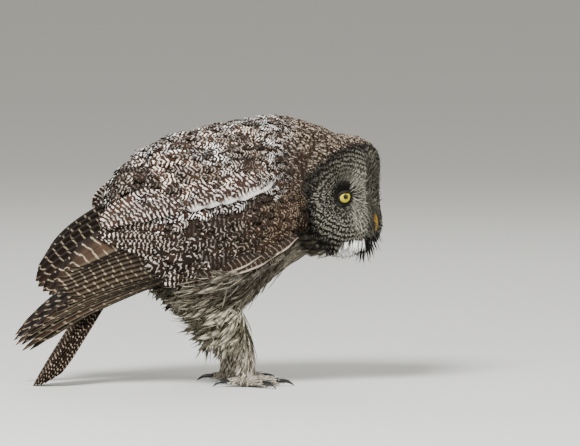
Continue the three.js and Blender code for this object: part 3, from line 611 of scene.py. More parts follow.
def small_feathers(name, spots, lie, length, width, material, rows=5, columns=2, lift=0.26, bend=0.14,
                   thick=0.35, sink=1.0, bars=4.5, bar_width=0.42, streak=0.25, jitter=0.14, tint=0.12,
                   shape=BROAD, phase=None, recolour=None):
    """Closed thin vanes, each with its root on the skin, along the lie of the coat."""
    roots, normals, uv = spots
    n = len(roots)
    draw = np.random.default_rng(len(name) * 97 + n)
    normals = unit(normals)
    lie = unit(lie - np.sum(lie * normals, 1)[:, None] * normals)
    across = np.cross(normals, lie)
    turn = jitter * draw.standard_normal(n)[:, None]
    lie = unit(lie * np.cos(turn) + across * np.sin(turn))
    across = np.cross(normals, lie)[:, None]
    length = (length * (1 + 0.14 * draw.standard_normal(n)))[:, None, None]
    half = (width * (1 + 0.1 * draw.standard_normal(n)))[:, None, None] / 2
    rise = (lift * (1 + 0.25 * np.clip(draw.standard_normal(n), -1.5, 0.9)))[:, None, None]
    swing = (0.10 * draw.standard_normal(n))[:, None, None]
    bend = np.broadcast_to(bend, n)[:, None, None]
    grid_u, grid_v = np.meshgrid(np.linspace(0, 1, rows + 1), np.linspace(-1, 1, columns + 1), indexing="ij")
    cell = np.arange(grid_u.size).reshape(grid_u.shape)
    u, v = grid_u.ravel(), grid_v.ravel()
    wide = (np.interp(u, [0, 0.12, 0.45, 0.75, 0.92, 1], shape) * v)[:, None]
    inner = (1 - v**2) * ((u > 0) & (u < 1))
    inside = np.flatnonzero(inner > 0)
    t, full = u[:, None], inner[:, None]
    away = length * (rise * t - bend * t**2) - 0.25 * half * wide**2 + thick * full
    top = roots[:, None] - sink * normals[:, None] + lie[:, None] * length * t
    top = top + across * (half * wide + length * swing * t**2) + normals[:, None] * away
    lower = top[:, inside] - normals[:, None] * (2 * thick) * full[inside]
    under = cell.copy().ravel()
    under[inside] = len(u) + np.arange(len(inside))
    under = under.reshape(cell.shape)
    template = np.concatenate([quads(cell, [1, 2, 3, 0]), quads(under, [3, 2, 1, 0])])
    points = np.concatenate([top, lower], 1)
    per = points.shape[1]
    faces = (template[None] + per * np.arange(n)[:, None, None]).reshape(-1, 4)
    made = make_object(name, points, faces.tolist())
    on_vane = np.stack([np.append(u, u[inside]), np.append(v, v[inside]) / 2 + 0.5], -1)
    base, mark, strength, _ = markings(roots)
    shade = 1 + tint * draw.standard_normal(n)[:, None]
    base, mark = base * shade, mark * (1 + 0.5 * (shade - 1))
    if recolour:
        base, mark, strength = recolour(base, mark, strength, draw)
    if phase:
        phase = phase(points, draw).ravel()
    else:
        phase = (bars * on_vane[None, :, 0] + draw.random(n)[:, None] * 9).ravel()
    streak = streak * (0.6 + 0.8 * draw.random(n))
    base, mark, strength, streak = (np.repeat(a, per, axis=0) for a in (base, mark, strength, streak))
    pattern = field(phase, bar_width, np.clip(strength, 0, 1), streak)
    add_colours(made, base=np.clip(base, 0, 1), mark=np.clip(mark, 0, 1), pattern=pattern)
    on_map = (uv[:, None] + UV_PATCH * (on_vane - 0.5)[None]).reshape(-1, 2)
    add_uv(made, "OFBake", np.clip(on_map, 0.0005, 0.9995))
    add_uv(made, "vane", np.tile(on_vane, (n, 1)))
    dress(made, material)


NAPE = 62  # where along the body the mantle ends and the head's coat begins


def lower(p):
    side = np.interp(p[:, 0], [-140, -90, 30], [190, 172, 190])
    return np.where(p[:, 0] > 30, p[:, 2] < 212, p[:, 2] < side)


def on_leg(p):
    return p[:, 2] < LEG_TOP


def on_back(p):
    return (p[:, 0] <= NAPE) & ~lower(p) & ~on_leg(p) & ~over_wing(p)


def mantle_look(base, mark, strength, draw):
    plain = draw.random(len(strength)) < 0.3
    return base * np.where(plain, 0.8, 1.0)[:, None], mark, strength * np.where(plain, 0.25, 1.0)


spots = scatter(on_back, gap=6.6, seed=1)
x, y, z = spots[0].T
lie = field(-1, -0.12 * np.sign(y) * smooth(x, -60, -180), -0.35 * smooth(z, 360, 250))
size = mix(32, 19, smooth(x, -60, NAPE))
lift = mix(0.22, 0.32, smooth(x, 20, 60))
small_feathers("coat_back", spots, lie, size, 0.58 * size, contour, rows=6, columns=4,
               bars=6.2, bar_width=0.4, lift=lift, bend=0.11, streak=0.5, jitter=0.2, recolour=mantle_look)

# Crown, nape and cheeks: small dense brown feathers with buff flecks, which stream back from the face and
# hide the neck. They are rooted in the skin, as the mantle's are, and stand a little looser.


def on_head(p):
    h = head_of(p)
    return (p[:, 0] > NAPE) & ~((h[:, 0] > 6) & (rim_of(h) < 0.98)) & (p[:, 2] > 206)


fleck = plumage_material("fleck_plumage", warp=0.45, scale=320.0, barbs=22.0, rough=0.8, chevron=1.3,
                         gaps=(0.44, 0.54))
spots = scatter(on_head, gap=3.1, seed=2)
h = head_of(spots[0])
out = spots[0] - in_head([30.0, 0, 5])
stream = -FACE_X + 0.5 * unit(out) * smooth(h[:, :1], -30, 60)
lie = mix(stream, np.array([-1, 0, -0.25]), smooth(-h[:, :1], -10, 60))
size = mix(16, 9, smooth(h[:, 0], -70, 30))
lift = mix(0.42, 0.24, smooth(h[:, 0], -60, -5))
small_feathers("coat_head", spots, lie, size, 0.4 * size, fleck, rows=4, bars=0.9,
               bar_width=0.27, lift=lift, bend=0.1, streak=0.15, jitter=0.36, tint=0.2, sink=0.6)

# Throat, breast, flanks and belly: long loose feathers with soft grey edges. Over them the belly has
# narrow, hair-like ones that hang down between the legs.
EYE_HOLE, FAN_HIGH = 8.5, 9  # the bare spot under the eyeball, and where the disc's feathers radiate from
POINTED = [0.5, 0.9, 1, 0.85, 0.45, 0.08]
HAIRY = [0.5, 0.9, 1, 0.8, 0.45, 0.05]


def in_face(p):
    h = head_of(p)
    from_eye = np.hypot(abs(h[:, 1]) - EYE_SIDE, h[:, 2] - FAN_HIGH)
    return (h[:, 0] > 6) & (rim_of(h) < 1.0) & (from_eye > EYE_HOLE)


def on_under(p):
    return lower(p) & ~on_leg(p) & ~in_face(p) & ~over_wing(p)


def on_belly(p):
    return on_under(p) & (p[:, 2] < 175) & (p[:, 0] < 60)


loose = plumage_material("loose_plumage", warp=0.5, scale=200.0, barbs=3.0, rough=0.9, chevron=0.3,
                         gaps=(0.3, 0.5), shaft_width=0.1)
spots = scatter(on_under, gap=4.8, seed=3)
x, y, z = spots[0].T
lie = field(-0.9, 0.15 * y / 90, -0.35 - 0.5 * smooth(x, 40, -60))
belly = smooth(z, 175, 130) * smooth(x, 70, 20)
small_feathers("coat_under", spots, lie, mix(28, 42, belly), mix(11, 8, belly), loose, rows=6,
               bars=2.6, bar_width=0.35, lift=mix(0.24, 0.27, belly), bend=mix(0.12, 0.2, belly), streak=0.3,
               shape=POINTED, jitter=0.3, tint=0.08)
spots = scatter(on_belly, gap=3.9, seed=13)
lie = field(-0.75, 0.2 * spots[0][:, 1] / 90, -0.8)
small_feathers("coat_belly", spots, lie, 44, 2.4, loose, rows=6, bars=2.2, bar_width=0.35,
               lift=0.32, bend=0.24, streak=0.3, shape=HAIRY, jitter=0.4, tint=0.08)

# Leggings: short dense pale feathers down to the claws, which keep the feet warm. On the foot they are
# smaller and spread along the toes. The soles stay bare where they stand.


def on_foot_or_leg(p):
    return on_leg(p) & (p[:, 2] > 3.2)


spots = scatter(on_foot_or_leg, gap=2.7, seed=4)
at = spots[0]
foot = smooth(at[:, 2], 24, 14)
lie = field(-0.1, 0 * foot, -1)
for leg in LEGS:
    along_toes = unit((at - leg["ankle"]) * [1, 1, 0]) + [0, 0, -0.2]
    mine = (at[:, 1] * leg["side"] > 0)[:, None]
    lie = np.where(mine, mix(lie, along_toes, foot[:, None]), lie)
small_feathers("coat_legs", spots, lie, mix(20, 8.5, foot), mix(4.2, 2.2, foot), loose, rows=4,
               bars=1.6, bar_width=0.3, lift=mix(0.28, 0.32, foot), bend=0.12, sink=0.4, jitter=0.22,
               shape=[0.5, 0.9, 1, 0.8, 0.4, 0.05])

# Facial discs: very small stiff feathers that radiate from each eye and gather sound. Their bars line up
# from one feather to the next, and so make grey rings.


def ring_phase(points, draw):
    near = eye_distance(head_of(points.reshape(-1, 3))).reshape(points.shape[:2])
    return near / RING_SPACING + 0.13 * draw.standard_normal(len(points))[:, None]


def half_face(side, p):
    return in_face(p) & (head_of(p)[:, 1] * side > 0)


disc = plumage_material("disc_plumage", warp=0.2, scale=420.0, barbs=4.0, rough=0.85, chevron=0.0,
                        gaps=(0.25, 0.45))
for side, name in ((-1, "right"), (1, "left")):
    spots = scatter(partial(half_face, side), gap=2.2, seed=5)
    h = head_of(spots[0])
    away = unit(field(0, h[:, 1] - side * EYE_SIDE, h[:, 2] - FAN_HIGH))
    upright = field(0, 0.25 * side, np.where(h[:, 2] > -20, 1, -1))
    between = smooth(abs(h[:, 1]), 22, 7) * smooth(abs(h[:, 2] + 20), 2, 10)
    lie = in_head(mix(away, upright, between[:, None])) - HEAD_CENTRE
    brush = smooth(h[:, 2], -44, -52)
    size = mix(6, 11, smooth(eye_distance(h), 12, 50)) + 5 * brush
    small_feathers("coat_face_" + name, spots, lie, size, 2.7, disc, rows=4,
                   lift=0.22 + 0.2 * brush, bend=0.08, thick=0.2, sink=0.6, bar_width=0.5, streak=0.15,
                   jitter=0.1, tint=0.1, phase=ring_phase)

# Bristles, brow, moustache and chin: narrow tufts between the eyes and round the bill, rooted in the skin
# of the face. The moustache is two white brushes with a black tuft between them.
BRISTLE = [0.6, 0.9, 1, 0.75, 0.4, 0.05]


def tuft_region(low, high, inner, outer, p):
    h = head_of(p)
    side = abs(h[:, 1])
    return (h[:, 0] > 6) & (h[:, 2] > low) & (h[:, 2] < high) & (side > inner) & (side < outer)


def tinted(colour, uneven, base, mark, strength, draw):
    shade = 1 + uneven * draw.standard_normal(len(base))[:, None]
    return colour * shade, colour * shade, 0 * strength


def face_tufts(name, region, gap, seed, aim, length, width, lift, colour, bend=0.12, uneven=0.1, fan=0.0):
    """Tufts that aim out of the face, away from its middle and up, and fan out from the eye where asked."""
    spots = scatter(partial(tuft_region, *region), gap, seed)
    h = head_of(spots[0])
    sideways = aim[1] * np.sign(h[:, 1]) + fan * h[:, 1] / 30
    lie = in_head(field(aim[0], sideways, aim[2] + fan * (h[:, 2] - 12) / 30)) - HEAD_CENTRE
    small_feathers(name, spots, lie, length, width, loose, lift=lift, bend=bend, thick=0.2,
                   sink=0.5, jitter=0.2, shape=BRISTLE, recolour=partial(tinted, colour, uneven))


face_tufts("lores", (-40, 30, 6, 26), 1.8, 21, (0.2, -1.1, 0), 12, 0.9, 0.3, tone(150, 147, 136),
           uneven=0.5, fan=1.0)
face_tufts("bill_bristles", (-36, 8, 1.5, 10), 1.4, 24, (0.6, -0.1, -0.8), 17, 0.9, 0.55, tone(88, 86, 78),
           uneven=0.5)
face_tufts("brow_ridge", (-8, 60, 0, 9), 1.8, 25, (0.5, 0.3, 0.8), 12, 1.8, 0.9, tone(96, 93, 84),
           uneven=0.45)
face_tufts("moustache", (-62, -46, 1.5, 39), 1.8, 22, (0.3, 0.05, -1), 15, 4.2, 0.5,
           tone(255, 255, 252, 1.0), bend=0.16)
face_tufts("chin", (-60, -30, 0, 5), 1.9, 23, (0.4, 0.04, -1), 20, 2.2, 0.95, tone(26, 24, 23))

# Lesser and median coverts: rows of feathers rooted along the arm, each row over the next, dark at the
# wrist, larger and paler towards the flight feathers.
COVERT_ROWS, COVERTS_IN_ROW = 27, 13
COVERT_ROOT = -2.6  # how deep in the pad a covert starts


def covert_look(s, t, base, mark, strength, draw):
    dark = smooth(np.sin(7 * s + 5 * t) + 0.8 * draw.standard_normal(len(s)), -0.6, 0.9)
    base = mix(tone(60, 45, 33), tone(40, 29, 20), dark[:, None])
    base = base * (1 + 0.1 * draw.standard_normal(len(s))[:, None])
    pale = smooth(s, 0.4, 0.85)
    mark = mix(tone(172, 158, 138), tone(240, 232, 220), pale[:, None])
    return base, mark, mix(0.55, 0.08, dark * (1 - 0.6 * pale))


for wing in WINGS:
    draw = np.random.default_rng(31)
    row = np.repeat(np.arange(COVERT_ROWS), COVERTS_IN_ROW)
    place = np.tile(np.arange(COVERTS_IN_ROW), COVERT_ROWS)
    s = np.linspace(0.02, 0.97, COVERT_ROWS)[row] + 0.008 * draw.standard_normal(len(row))
    t = (place + 0.5 * (row % 2)) / (COVERTS_IN_ROW - 0.5) + 0.012 * draw.standard_normal(len(row))
    s, t = np.clip(s, 0.005, 0.985), np.clip(t, 0.01, 0.99)
    above = np.clip(t + 0.01, 0, 1)
    at = pad_point(wing, s, t, swell(s, t) + COVERT_ROOT)
    ahead = pad_point(wing, s + 0.012, t, swell(s + 0.012, t) + COVERT_ROOT) - at
    beside = pad_point(wing, s, above, swell(s, above) + COVERT_ROOT) - at
    normal = outward(unit(np.cross(ahead, beside)), wing)
    size = mix(19, 40, smooth(s, 0.2, 0.95)) * mix(0.8, 1, np.sin(np.pi * t))
    spots = at, normal, np.stack([0.5 * s + 0.25, 0.5 * t + 0.25], -1)
    small_feathers("coat_coverts_" + wing["name"], spots, ahead, size, 0.62 * size, contour,
                   rows=6, columns=4, bars=5.4, bar_width=0.22, lift=0.13, bend=0.05, sink=0.8, streak=0.4,
                   jitter=0.26, recolour=partial(covert_look, s, t))

# Secondaries: nine long stiff feathers on each forearm, folded one under another. Each is a flat vane on a
# bent shaft, brown with narrow pale bars and edges darkened by painted shade where the vanes overlap, in
# place of a vane of the solids.
VANE_THICK = 0.55
BAR_ARCH = 0.352  # how far the bars bend back towards a vane's edges


def raised(wing, x, z):
    return [x, z + float(lift_of(wing, x))]


def large_feather(root, tip, bulge, width, height, blunt, place, rows=26, columns=8, drop=0.0, tilt=0.0):
    """Upper and lower points of a vane, on the surface that place() gives, with its u, v and length."""
    a, b = np.array(root, float), np.array(tip, float)
    reach = b - a
    lift = unit(np.array([-reach[1], reach[0]]))
    if lift[1] < 0:
        lift = -lift
    middle = (a + b) / 2 + lift * 2 * bulge * np.linalg.norm(reach)
    u = np.linspace(0, 1, rows + 1)
    v = np.linspace(-1, 1, columns + 1)
    t = u[:, None]
    line = (1 - t) ** 2 * a + 2 * t * (1 - t) * middle + t**2 * b
    along = unit(2 * (1 - t) * (middle - a) + 2 * t * (b - middle))
    across = np.stack([-along[:, 1], along[:, 0]], -1)
    end = np.sqrt(np.clip(1 - np.clip((u - 0.72) / 0.28, 0, 1) ** 2.4, 0, 1))
    full = mix(0.42, 1, smooth(u, 0, 0.3)) * mix(1, 0.62 + 0.38 * blunt, smooth(u, 0.45, 0.9))
    full = (full * np.maximum(end, 0.04))[:, None]
    at = line[:, None] + across[:, None] * (v[None, :, None] * width / 2 * full[:, :, None])
    slope = tilt * v[None] * width / 2 * full
    ridge = 0.5 * np.exp(-((v / 0.12) ** 2))[None] - 0.35 * v[None] ** 2 * full
    h = height - drop * t + slope + ridge
    top = place(at[..., 0], at[..., 1], h + VANE_THICK / 2)
    low = place(at[..., 0], at[..., 1], h - VANE_THICK / 2)
    return top, low, u, v, np.linalg.norm(reach)


def join_feathers(name, feathers, material, look, replace=()):
    """One mesh of closed vanes, laid out side by side on its map."""
    points, faces, uv, vane, base, mark, pattern = [], [], [], [], [], [], []
    side = math.ceil(math.sqrt(len(feathers)))
    start = 0
    for k, (top, low, u, v, reach) in enumerate(feathers):
        n, m = len(u), len(v)
        cell = start + np.arange(n * m).reshape(n, m)
        under = cell + n * m
        start += 2 * n * m
        faces += [quads(cell, [0, 1, 2, 3]), quads(under, [0, 3, 2, 1])]
        edge = np.concatenate([cell[0, :-1], cell[:-1, -1], cell[-1, :0:-1], cell[:0:-1, 0]])
        after = np.roll(edge, -1)
        faces.append(np.stack([edge, edge + n * m, after + n * m, after], -1))
        points += [top.reshape(-1, 3), low.reshape(-1, 3)]
        gu, gv = np.meshgrid(u, v, indexing="ij")
        on_map = np.stack([gu * 0.92 + 0.04, (gv + 1) / 2 * 0.42 + 0.04], -1).reshape(-1, 2)
        corner = np.array([k % side, k // side])
        uv += [(on_map + corner) / side, (on_map + [0, 0.48] + corner) / side]
        colours = look(k, gu, gv, reach)
        for kept, values in zip((vane, base, mark, pattern), (np.stack([gu, gv / 2 + 0.5], -1), *colours)):
            kept += [values.reshape(n * m, -1)] * 2
    made = make_object(name, np.concatenate(points), np.concatenate(faces).tolist())
    # the winding follows the side of the body, so the first vane's is checked, and all are turned if need be
    middle = Vector(to_frame(feathers[0][1].reshape(-1, 3).mean(0))[0])
    if sum(p.area * p.normal.dot(p.center - middle) for p in made.data.polygons[: len(faces[0])]) < 0:
        made.data.flip_normals()
    base, mark = np.clip(np.concatenate(base), 0, 1), np.clip(np.concatenate(mark), 0, 1)
    add_colours(made, base=base, mark=mark, pattern=np.concatenate(pattern))
    add_uv(made, "OFBake", np.concatenate(uv))
    add_uv(made, "vane", np.concatenate(vane))
    dress(made, material, replace)


def vane_look(ground, dark, pale, spacing, width, strength, tip_marks=0.0, edging=0.0, shaded=0.0):
    """The colours of a row of vanes: spaced bars, marked tips, pale edging, painted shade along the edges,
    every second vane shaded.
    """
    def look(k, gu, gv, reach):
        draw = np.random.default_rng(k + 5)
        u, v = gu[..., None], gv[..., None]
        band = 0.5 + 0.5 * np.sin(2 * np.pi * (u * reach / (2 * spacing) + 0.37 * k))
        base = mix(ground, dark, 0.3 * band + 0.2 * smooth(u, 0.6, 1))
        # painted shade: each vane darkens towards both edges, where its neighbour lies over it and where it
        # casts shade on the one below; with edging, its inner web darkens too, partly the web's own darker
        # tone and partly painted shade under the next vane
        inner = 0.8 * smooth(v, -0.1, -0.7) * (edging > 0)
        base = mix(base, dark, np.maximum(0.75 * smooth(abs(v), 0.55, 1.0), inner))
        base = mix(base * (1 + 0.1 * draw.standard_normal()), dark, shaded * (k % 2))
        base = mix(base, pale, edging * (smooth(v, 0.6, 0.75) * smooth(v, 0.98, 0.9)))
        phase = gu * reach / spacing + BAR_ARCH * gv**2 + 3 * draw.random() + 0.3 * gv
        power = np.clip(strength + tip_marks * smooth(gu, 0.75, 0.95), 0, 1)
        return base, pale + 0 * base, field(phase, width, power, 0.9)
    return look


def wing_row(name, vanes, material, slot, look, replaced=None, **shape):
    """One row of vanes on each wing, from their roots, tips, bends, widths, heights and blunt ends."""
    for wing in WINGS:
        place = partial(on_wing, wing)
        feathers = [large_feather(*vane, place, **shape) for vane in vanes(wing)]
        nodes = [f"{replaced}_{wing['name']}"] if replaced else ()
        join_feathers(f"{name}_{wing['name']}", feathers, material, look, nodes)


def secondary_vanes(wing):
    for i, tip in enumerate(spline(wing["secondary"], np.linspace(0, 1, 9))):
        share = i / 8
        root = raised(wing, mix(-52, -66, share), mix(172, 226, share))
        yield root, tip, mix(0.07, 0.11, share), mix(30, 42, share), -0.9 - (8 - i) * LAYER, 0.6


# the flight feathers' rim is painted shade in the gaps between the folded vanes
flight = plumage_material("flight_plumage", warp=0.14, scale=160.0, barbs=30.0, rough=0.62, chevron=0.5,
                          gaps=(0.3, 0.5), shaft_width=0.035, rim=0.92)
look = vane_look(tone(84, 67, 52), tone(15, 10, 6), tone(214, 200, 176), 14, 0.04, 0.6, edging=0.08)
wing_row("secondaries", secondary_vanes, flight, "plumage_wing", look, "wing_secondaries")

# Primaries: ten stiff feathers on each hand, longer and more pointed, folded under the secondaries. Every
# second one lies in its neighbour's shade.
HAND = -0.4 - 9 * LAYER - 0.8  # the height under which the primaries lie


def primary_vanes(wing):
    for i, tip in enumerate(spline(wing["primary"], np.linspace(0, 1, 10))):
        share = i / 9
        root = raised(wing, -48, mix(172, 160, share))
        height = HAND - 0.6 - i * (STACK - 1.8 + HAND) / 9
        yield root, tip, 0.075, mix(28, 22, share), height, mix(-0.1, -0.5, share)


look = vane_look(tone(86, 69, 55), tone(12, 8, 5), tone(196, 180, 156), 20, 0.06, 0.5, edging=0.22,
                 shaded=0.9)
wing_row("primaries", primary_vanes, flight, "plumage_wing", look, "wing_primaries")

# Greater coverts and tertials: fourteen broad feathers on each wing with white marks at their tips, rooted
# over the roots of the secondaries.
GREATER_TIPS = [[-116, 150], [-106, 180], [-150, 192], [-183, 203], [-207, 214], [-186, 232]]


def greater_vanes(wing):
    for i, tip in enumerate(spline(GREATER_TIPS, np.linspace(0, 1, 14))):
        share = i / 13
        root = raised(wing, mix(-52, -92, share), mix(158, 226, share))
        yield root, raised(wing, *tip), 0.05, 24, 3.0 + 0.4 * (i % 2), 0.8


look = vane_look(tone(66, 50, 38), tone(42, 31, 24), tone(236, 229, 218), 6, 0.24, 0.5, tip_marks=0.6)
wing_row("greater_coverts", greater_vanes, contour, "plumage_wing", look, "wing_coverts", rows=14, columns=6,
         drop=0.8, tilt=0.12)

# Scapulars: nine broad feathers on each shoulder that lap over the top of the wing. The white outer webs
# of the first four make the pale stripe above it.
plain_scapular = vane_look(tone(74, 56, 46), tone(46, 34, 27), tone(214, 206, 197), 5.5, 0.36, 0.9)


def scapular_vanes(wing):
    for share in np.arange(9) / 8:
        x, z = mix(38, -104, share), mix(294, 272, share)
        tip = raised(wing, x - mix(58, 96, share), z - mix(26, 46, share))
        yield raised(wing, x + 6, z + 4), tip, 0.05, 32, 3.4, 0.8


def scapular_look(k, gu, gv, reach):
    base, mark, pattern = plain_scapular(k, gu, gv, reach)
    white = smooth(gv, 0.62, 0.76) * smooth(gu, 0.08, 0.25) * smooth(gu, 0.98, 0.85) * (k < 4)
    return mix(base, tone(250, 248, 243, 1.0), white[..., None]), mark, pattern


wing_row("scapulars", scapular_vanes, contour, "plumage_back", scapular_look, rows=14, columns=6, drop=-4.8,
         tilt=0.1)

# Edge coverts: four long dark feathers along the lower edge of each folded wing. Their pale edges make one
# thin line from the wrist back.
EDGE_COVERTS = ([70, 214], [4, 178]), ([40, 190], [-46, 160]), ([4, 178], [-92, 147]), ([20, 190], [-70, 158])


def edge_vanes(wing):
    for i, (root, tip) in enumerate(EDGE_COVERTS):
        yield raised(wing, *root), raised(wing, *tip), -0.03, 17, 4.6 + 0.8 * (i % 2), 0.5


look = vane_look(tone(66, 50, 37), tone(32, 23, 16), tone(214, 202, 184), 7, 0.12, 0.22, edging=0.85)
wing_row("edge_coverts", edge_vanes, flight, "plumage_wing", look, rows=16, tilt=0.12)

# Tail: twelve long feathers, six on each side, fixed in its root one under another. It slants down, a
# little arched and rolled, and its tips lie on the floor.
TAIL_ROOT, TAIL_TIP = np.array([-148.0, 0, 216]), np.array([-291.0, 0, -1])
TAIL_ROLL = math.radians(11)
TAIL_ARCH = 9
tail_length = np.linalg.norm(TAIL_TIP - TAIL_ROOT)
tail_along = (TAIL_TIP - TAIL_ROOT) / tail_length
tail_up = np.array([tail_along[2], 0, -tail_along[0]])
tail_across = np.array([0, math.cos(TAIL_ROLL), 0]) + tail_up * math.sin(TAIL_ROLL)
tail_normal = np.cross(tail_along, tail_across)
if tail_normal[2] < 0:
    tail_normal = -tail_normal


def on_tail(u, v, h):
    u, v, h = np.broadcast_arrays(u, v, h)
    arch = h - v * v / 130 - TAIL_ARCH * (u / tail_length) ** 2 + TAIL_ARCH * (u / tail_length)
    at = TAIL_ROOT + u[..., None] * tail_along + v[..., None] * tail_across + arch[..., None] * tail_normal
    at[..., 2] = np.maximum(at[..., 2], 0.1)
    return at


look = vane_look(tone(58, 43, 32), tone(30, 21, 15), tone(176, 162, 142), 6, 0.2, 0.6)
feathers = []
for i in range(12):
    pair, side = i // 2, 1 if i % 2 else -1
    share = pair / 5
    root, tip = [12, side * (1 + 5 * share)], [tail_length - 30 * share**1.5, side * (3 + 17 * share)]
    height = -(2 * pair + i % 2) * (LAYER - 0.15)
    feathers.append(large_feather(root, tip, 0, 35 * mix(1, 0.8, share), height, 0.6, on_tail))
join_feathers("rectrices", feathers, contour, look, ["tail"])

# Tail coverts: seven soft feathers over the root of the tail and seven under it, which hide where the long
# feathers are rooted.
look = vane_look(tone(84, 66, 54), tone(50, 38, 31), tone(206, 198, 188), 8, 0.4, 0.8)
feathers = []
for k, across in enumerate((0, 1, -1, 2, -2, 1.5, -1.5)):
    for length, height in ((104 - 5 * k, 7.5 - 0.8 * k), (120 - 6 * k, -16.2 - 0.8 * k)):
        root, tip = [20, across * 5], [length, across * 10]
        feathers.append(large_feather(root, tip, 0, 24, height, 0.4, on_tail, rows=12, columns=6))
join_feathers("tail_coverts", feathers, contour, look)

# Eyes: a glossy ball each in its socket, with a yellow iris, a dark ring round it and a black pupil, that
# looks a little ahead of the face. The colours follow the angle from where the eye looks.
EYE = dict(radius=12.0, proud=5.0, turn=26, glance=8)
up = np.array([0, 0, 1.0])


def face_depth(y, z):
    high = np.where(z > 0, HEAD["crown"], HEAD["chin"])
    upright = np.clip(1 - (abs(z) / high) ** FACE_UPRIGHT, 0, None)
    plan = np.clip(upright ** (HEAD_PLAN / FACE_UPRIGHT) - (abs(y) / HEAD["side"]) ** HEAD_PLAN, 0, None)
    return HEAD["front"] * plan ** (1 / HEAD_PLAN) - bowl(y, z)


def in_face_plane(degrees):
    return FACE_X * math.cos(math.radians(degrees)) + FACE_Y * math.sin(math.radians(degrees))


def cone(axis, sideways, upwards, angle, around):
    """Directions at an angle from an axis, for each place around it."""
    about = np.cos(around)[..., None] * sideways + np.sin(around)[..., None] * upwards
    return np.cos(angle)[..., None] * axis + np.sin(angle)[..., None] * about


def eye_centre(side):
    spot = in_head(np.array([face_depth(side * BOWL["y"], BOWL["z"]), side * BOWL["y"], BOWL["z"]]))
    return spot + in_face_plane(EYE["turn"] * side) * (EYE["proud"] - EYE["radius"])


def plain_material(name, colour, rough, coat=0.0):
    """A colour, or the name of the attribute that carries it."""
    material, paint, shader = new_material(name)
    if isinstance(colour, str):
        colour = paint.carried(colour)
    paint.feed(shader, {"Base Color": colour, "Roughness": rough, "Specular IOR Level": 0.2})
    paint.feed(shader, {"Coat Weight": coat, "Coat Roughness": 0.03})
    return material


eye_material = plain_material("eye", "iris", 0.3, 0.12)
for side, name in ((-1, "right"), (1, "left")):
    gaze = unit(in_face_plane((EYE["turn"] + EYE["glance"]) * side) + [0, 0, 0.05])
    sideways = unit(np.cross(up, gaze))
    polar = np.radians(np.linspace(3, 175, 60))
    around = circle(64)
    direction = cone(gaze, sideways, np.cross(gaze, sideways), polar[:, None], around[None])
    bulge = 0.9 * np.exp(-((polar / 0.62) ** 4))[:, None, None]
    rings = eye_centre(side) + direction * (EYE["radius"] - 0.6 + bulge)
    ball = make_object("eyeball_" + name, *closed_grid(rings))
    reach = np.degrees(np.append(np.repeat(polar, 64), [0, 180]))
    grain = 1 + 0.12 * np.append(np.tile(np.sin(around * 23) * np.sin(around * 7 + 1), 60), [0, 0])
    iris = mix(tone(186, 174, 34), tone(204, 194, 66), smooth(reach, 16, 34)[:, None]) * grain[:, None]
    iris = mix(iris, tone(120, 96, 30), smooth(reach, 42, 47)[:, None])
    iris = mix(iris, tone(4, 4, 4), (smooth(reach, 46, 49) + smooth(reach, 18.5, 16.5))[:, None])
    add_colours(ball, iris=np.clip(iris, 0, 1))
    dress(ball, eye_material, ["eye_" + name])

# Lids: a dark rim of bare skin that grows from the socket's edge and narrows each eye, lowest under the
# brow.
LID_RINGS = [  # how much wider than the opening, and how proud of the ball
    (0, 0.1), (0.02, 1.0), (0.12, 1.5), (0.35, 1.2), (0.8, -1.5), (0.8, -3.5), (0.3, -2.0),
]
lid_material = plain_material("lid", (0.006, 0.0055, 0.005, 1), 0.75)
for side, name in ((-1, "right"), (1, "left")):
    look = in_face_plane(EYE["turn"] * side)
    around = circle(72)
    brow = np.clip(np.sin(around), 0, 1)
    opening = np.radians(50 - 26 * brow**1.3)
    rings = []
    for k, (wider, rise) in enumerate(LID_RINGS):
        way = cone(look, unit(np.cross(up, look)), up, opening + wider, around)
        rings.append(eye_centre(side) + way * (EYE["radius"] + rise + 0.5 * brow[:, None] * (0 < k < 4)))
    cell = np.arange(len(rings) * len(around)).reshape(len(rings), len(around))
    after, next_ring = np.roll(cell, -1, 1), np.roll(cell, -1, 0)
    faces = np.stack([cell, after, np.roll(after, -1, 0), next_ring], -1).reshape(-1, 4)
    dress(make_object("lid_" + name, rings, faces.tolist()), lid_material)

# Bill: horn over bone, a hooked upper half with a dent for each nostril, closed over a short lower half.
# Both are set in the face between the bristles.
bill_material = plain_material("bill_horn", (*tone(152, 120, 26), 1), 0.4, 0.1)
c, s = np.cos(circle(40)), np.sin(circle(40))
rings = []
for t in np.linspace(0, 1, 30):
    bend = t * 1.75
    x = 58 + 20 * math.sin(bend) + 4 * (1 - t)
    z = -12 - 25 * (1 - math.cos(bend)) * 0.86
    wide, high = 5.4 * (1 - t**1.6 * 0.93), 7.8 * (1 - t**1.3 * 0.93)
    out = s * high
    nostril = 1.2 * np.exp(-(((t - 0.33) / 0.05) ** 2)) * np.exp(-(((abs(c) - 0.9) / 0.25) ** 2)) * (s > -0.2)
    y = c * (wide - nostril) * np.where(s > 0, 1 - 0.35 * s, 1)
    rings.append(in_head(field(x + math.sin(bend - 0.1) * out, y, z + math.cos(bend - 0.1) * out)))
upper = make_object("bill_upper_horn", *closed_grid(np.array(rings)))
dress(upper, bill_material, ["bill_upper"])
t = np.linspace(0, 1, 10)
chin_line = in_head(field(50 + 14 * t, 0, -27 - 7 * t * t))
lower_half = make_object("bill_lower_horn", *closed_grid(ring_path(chin_line, 4.6 - 3.4 * t**2)))
dress(lower_half, bill_material, ["bill_lower"])

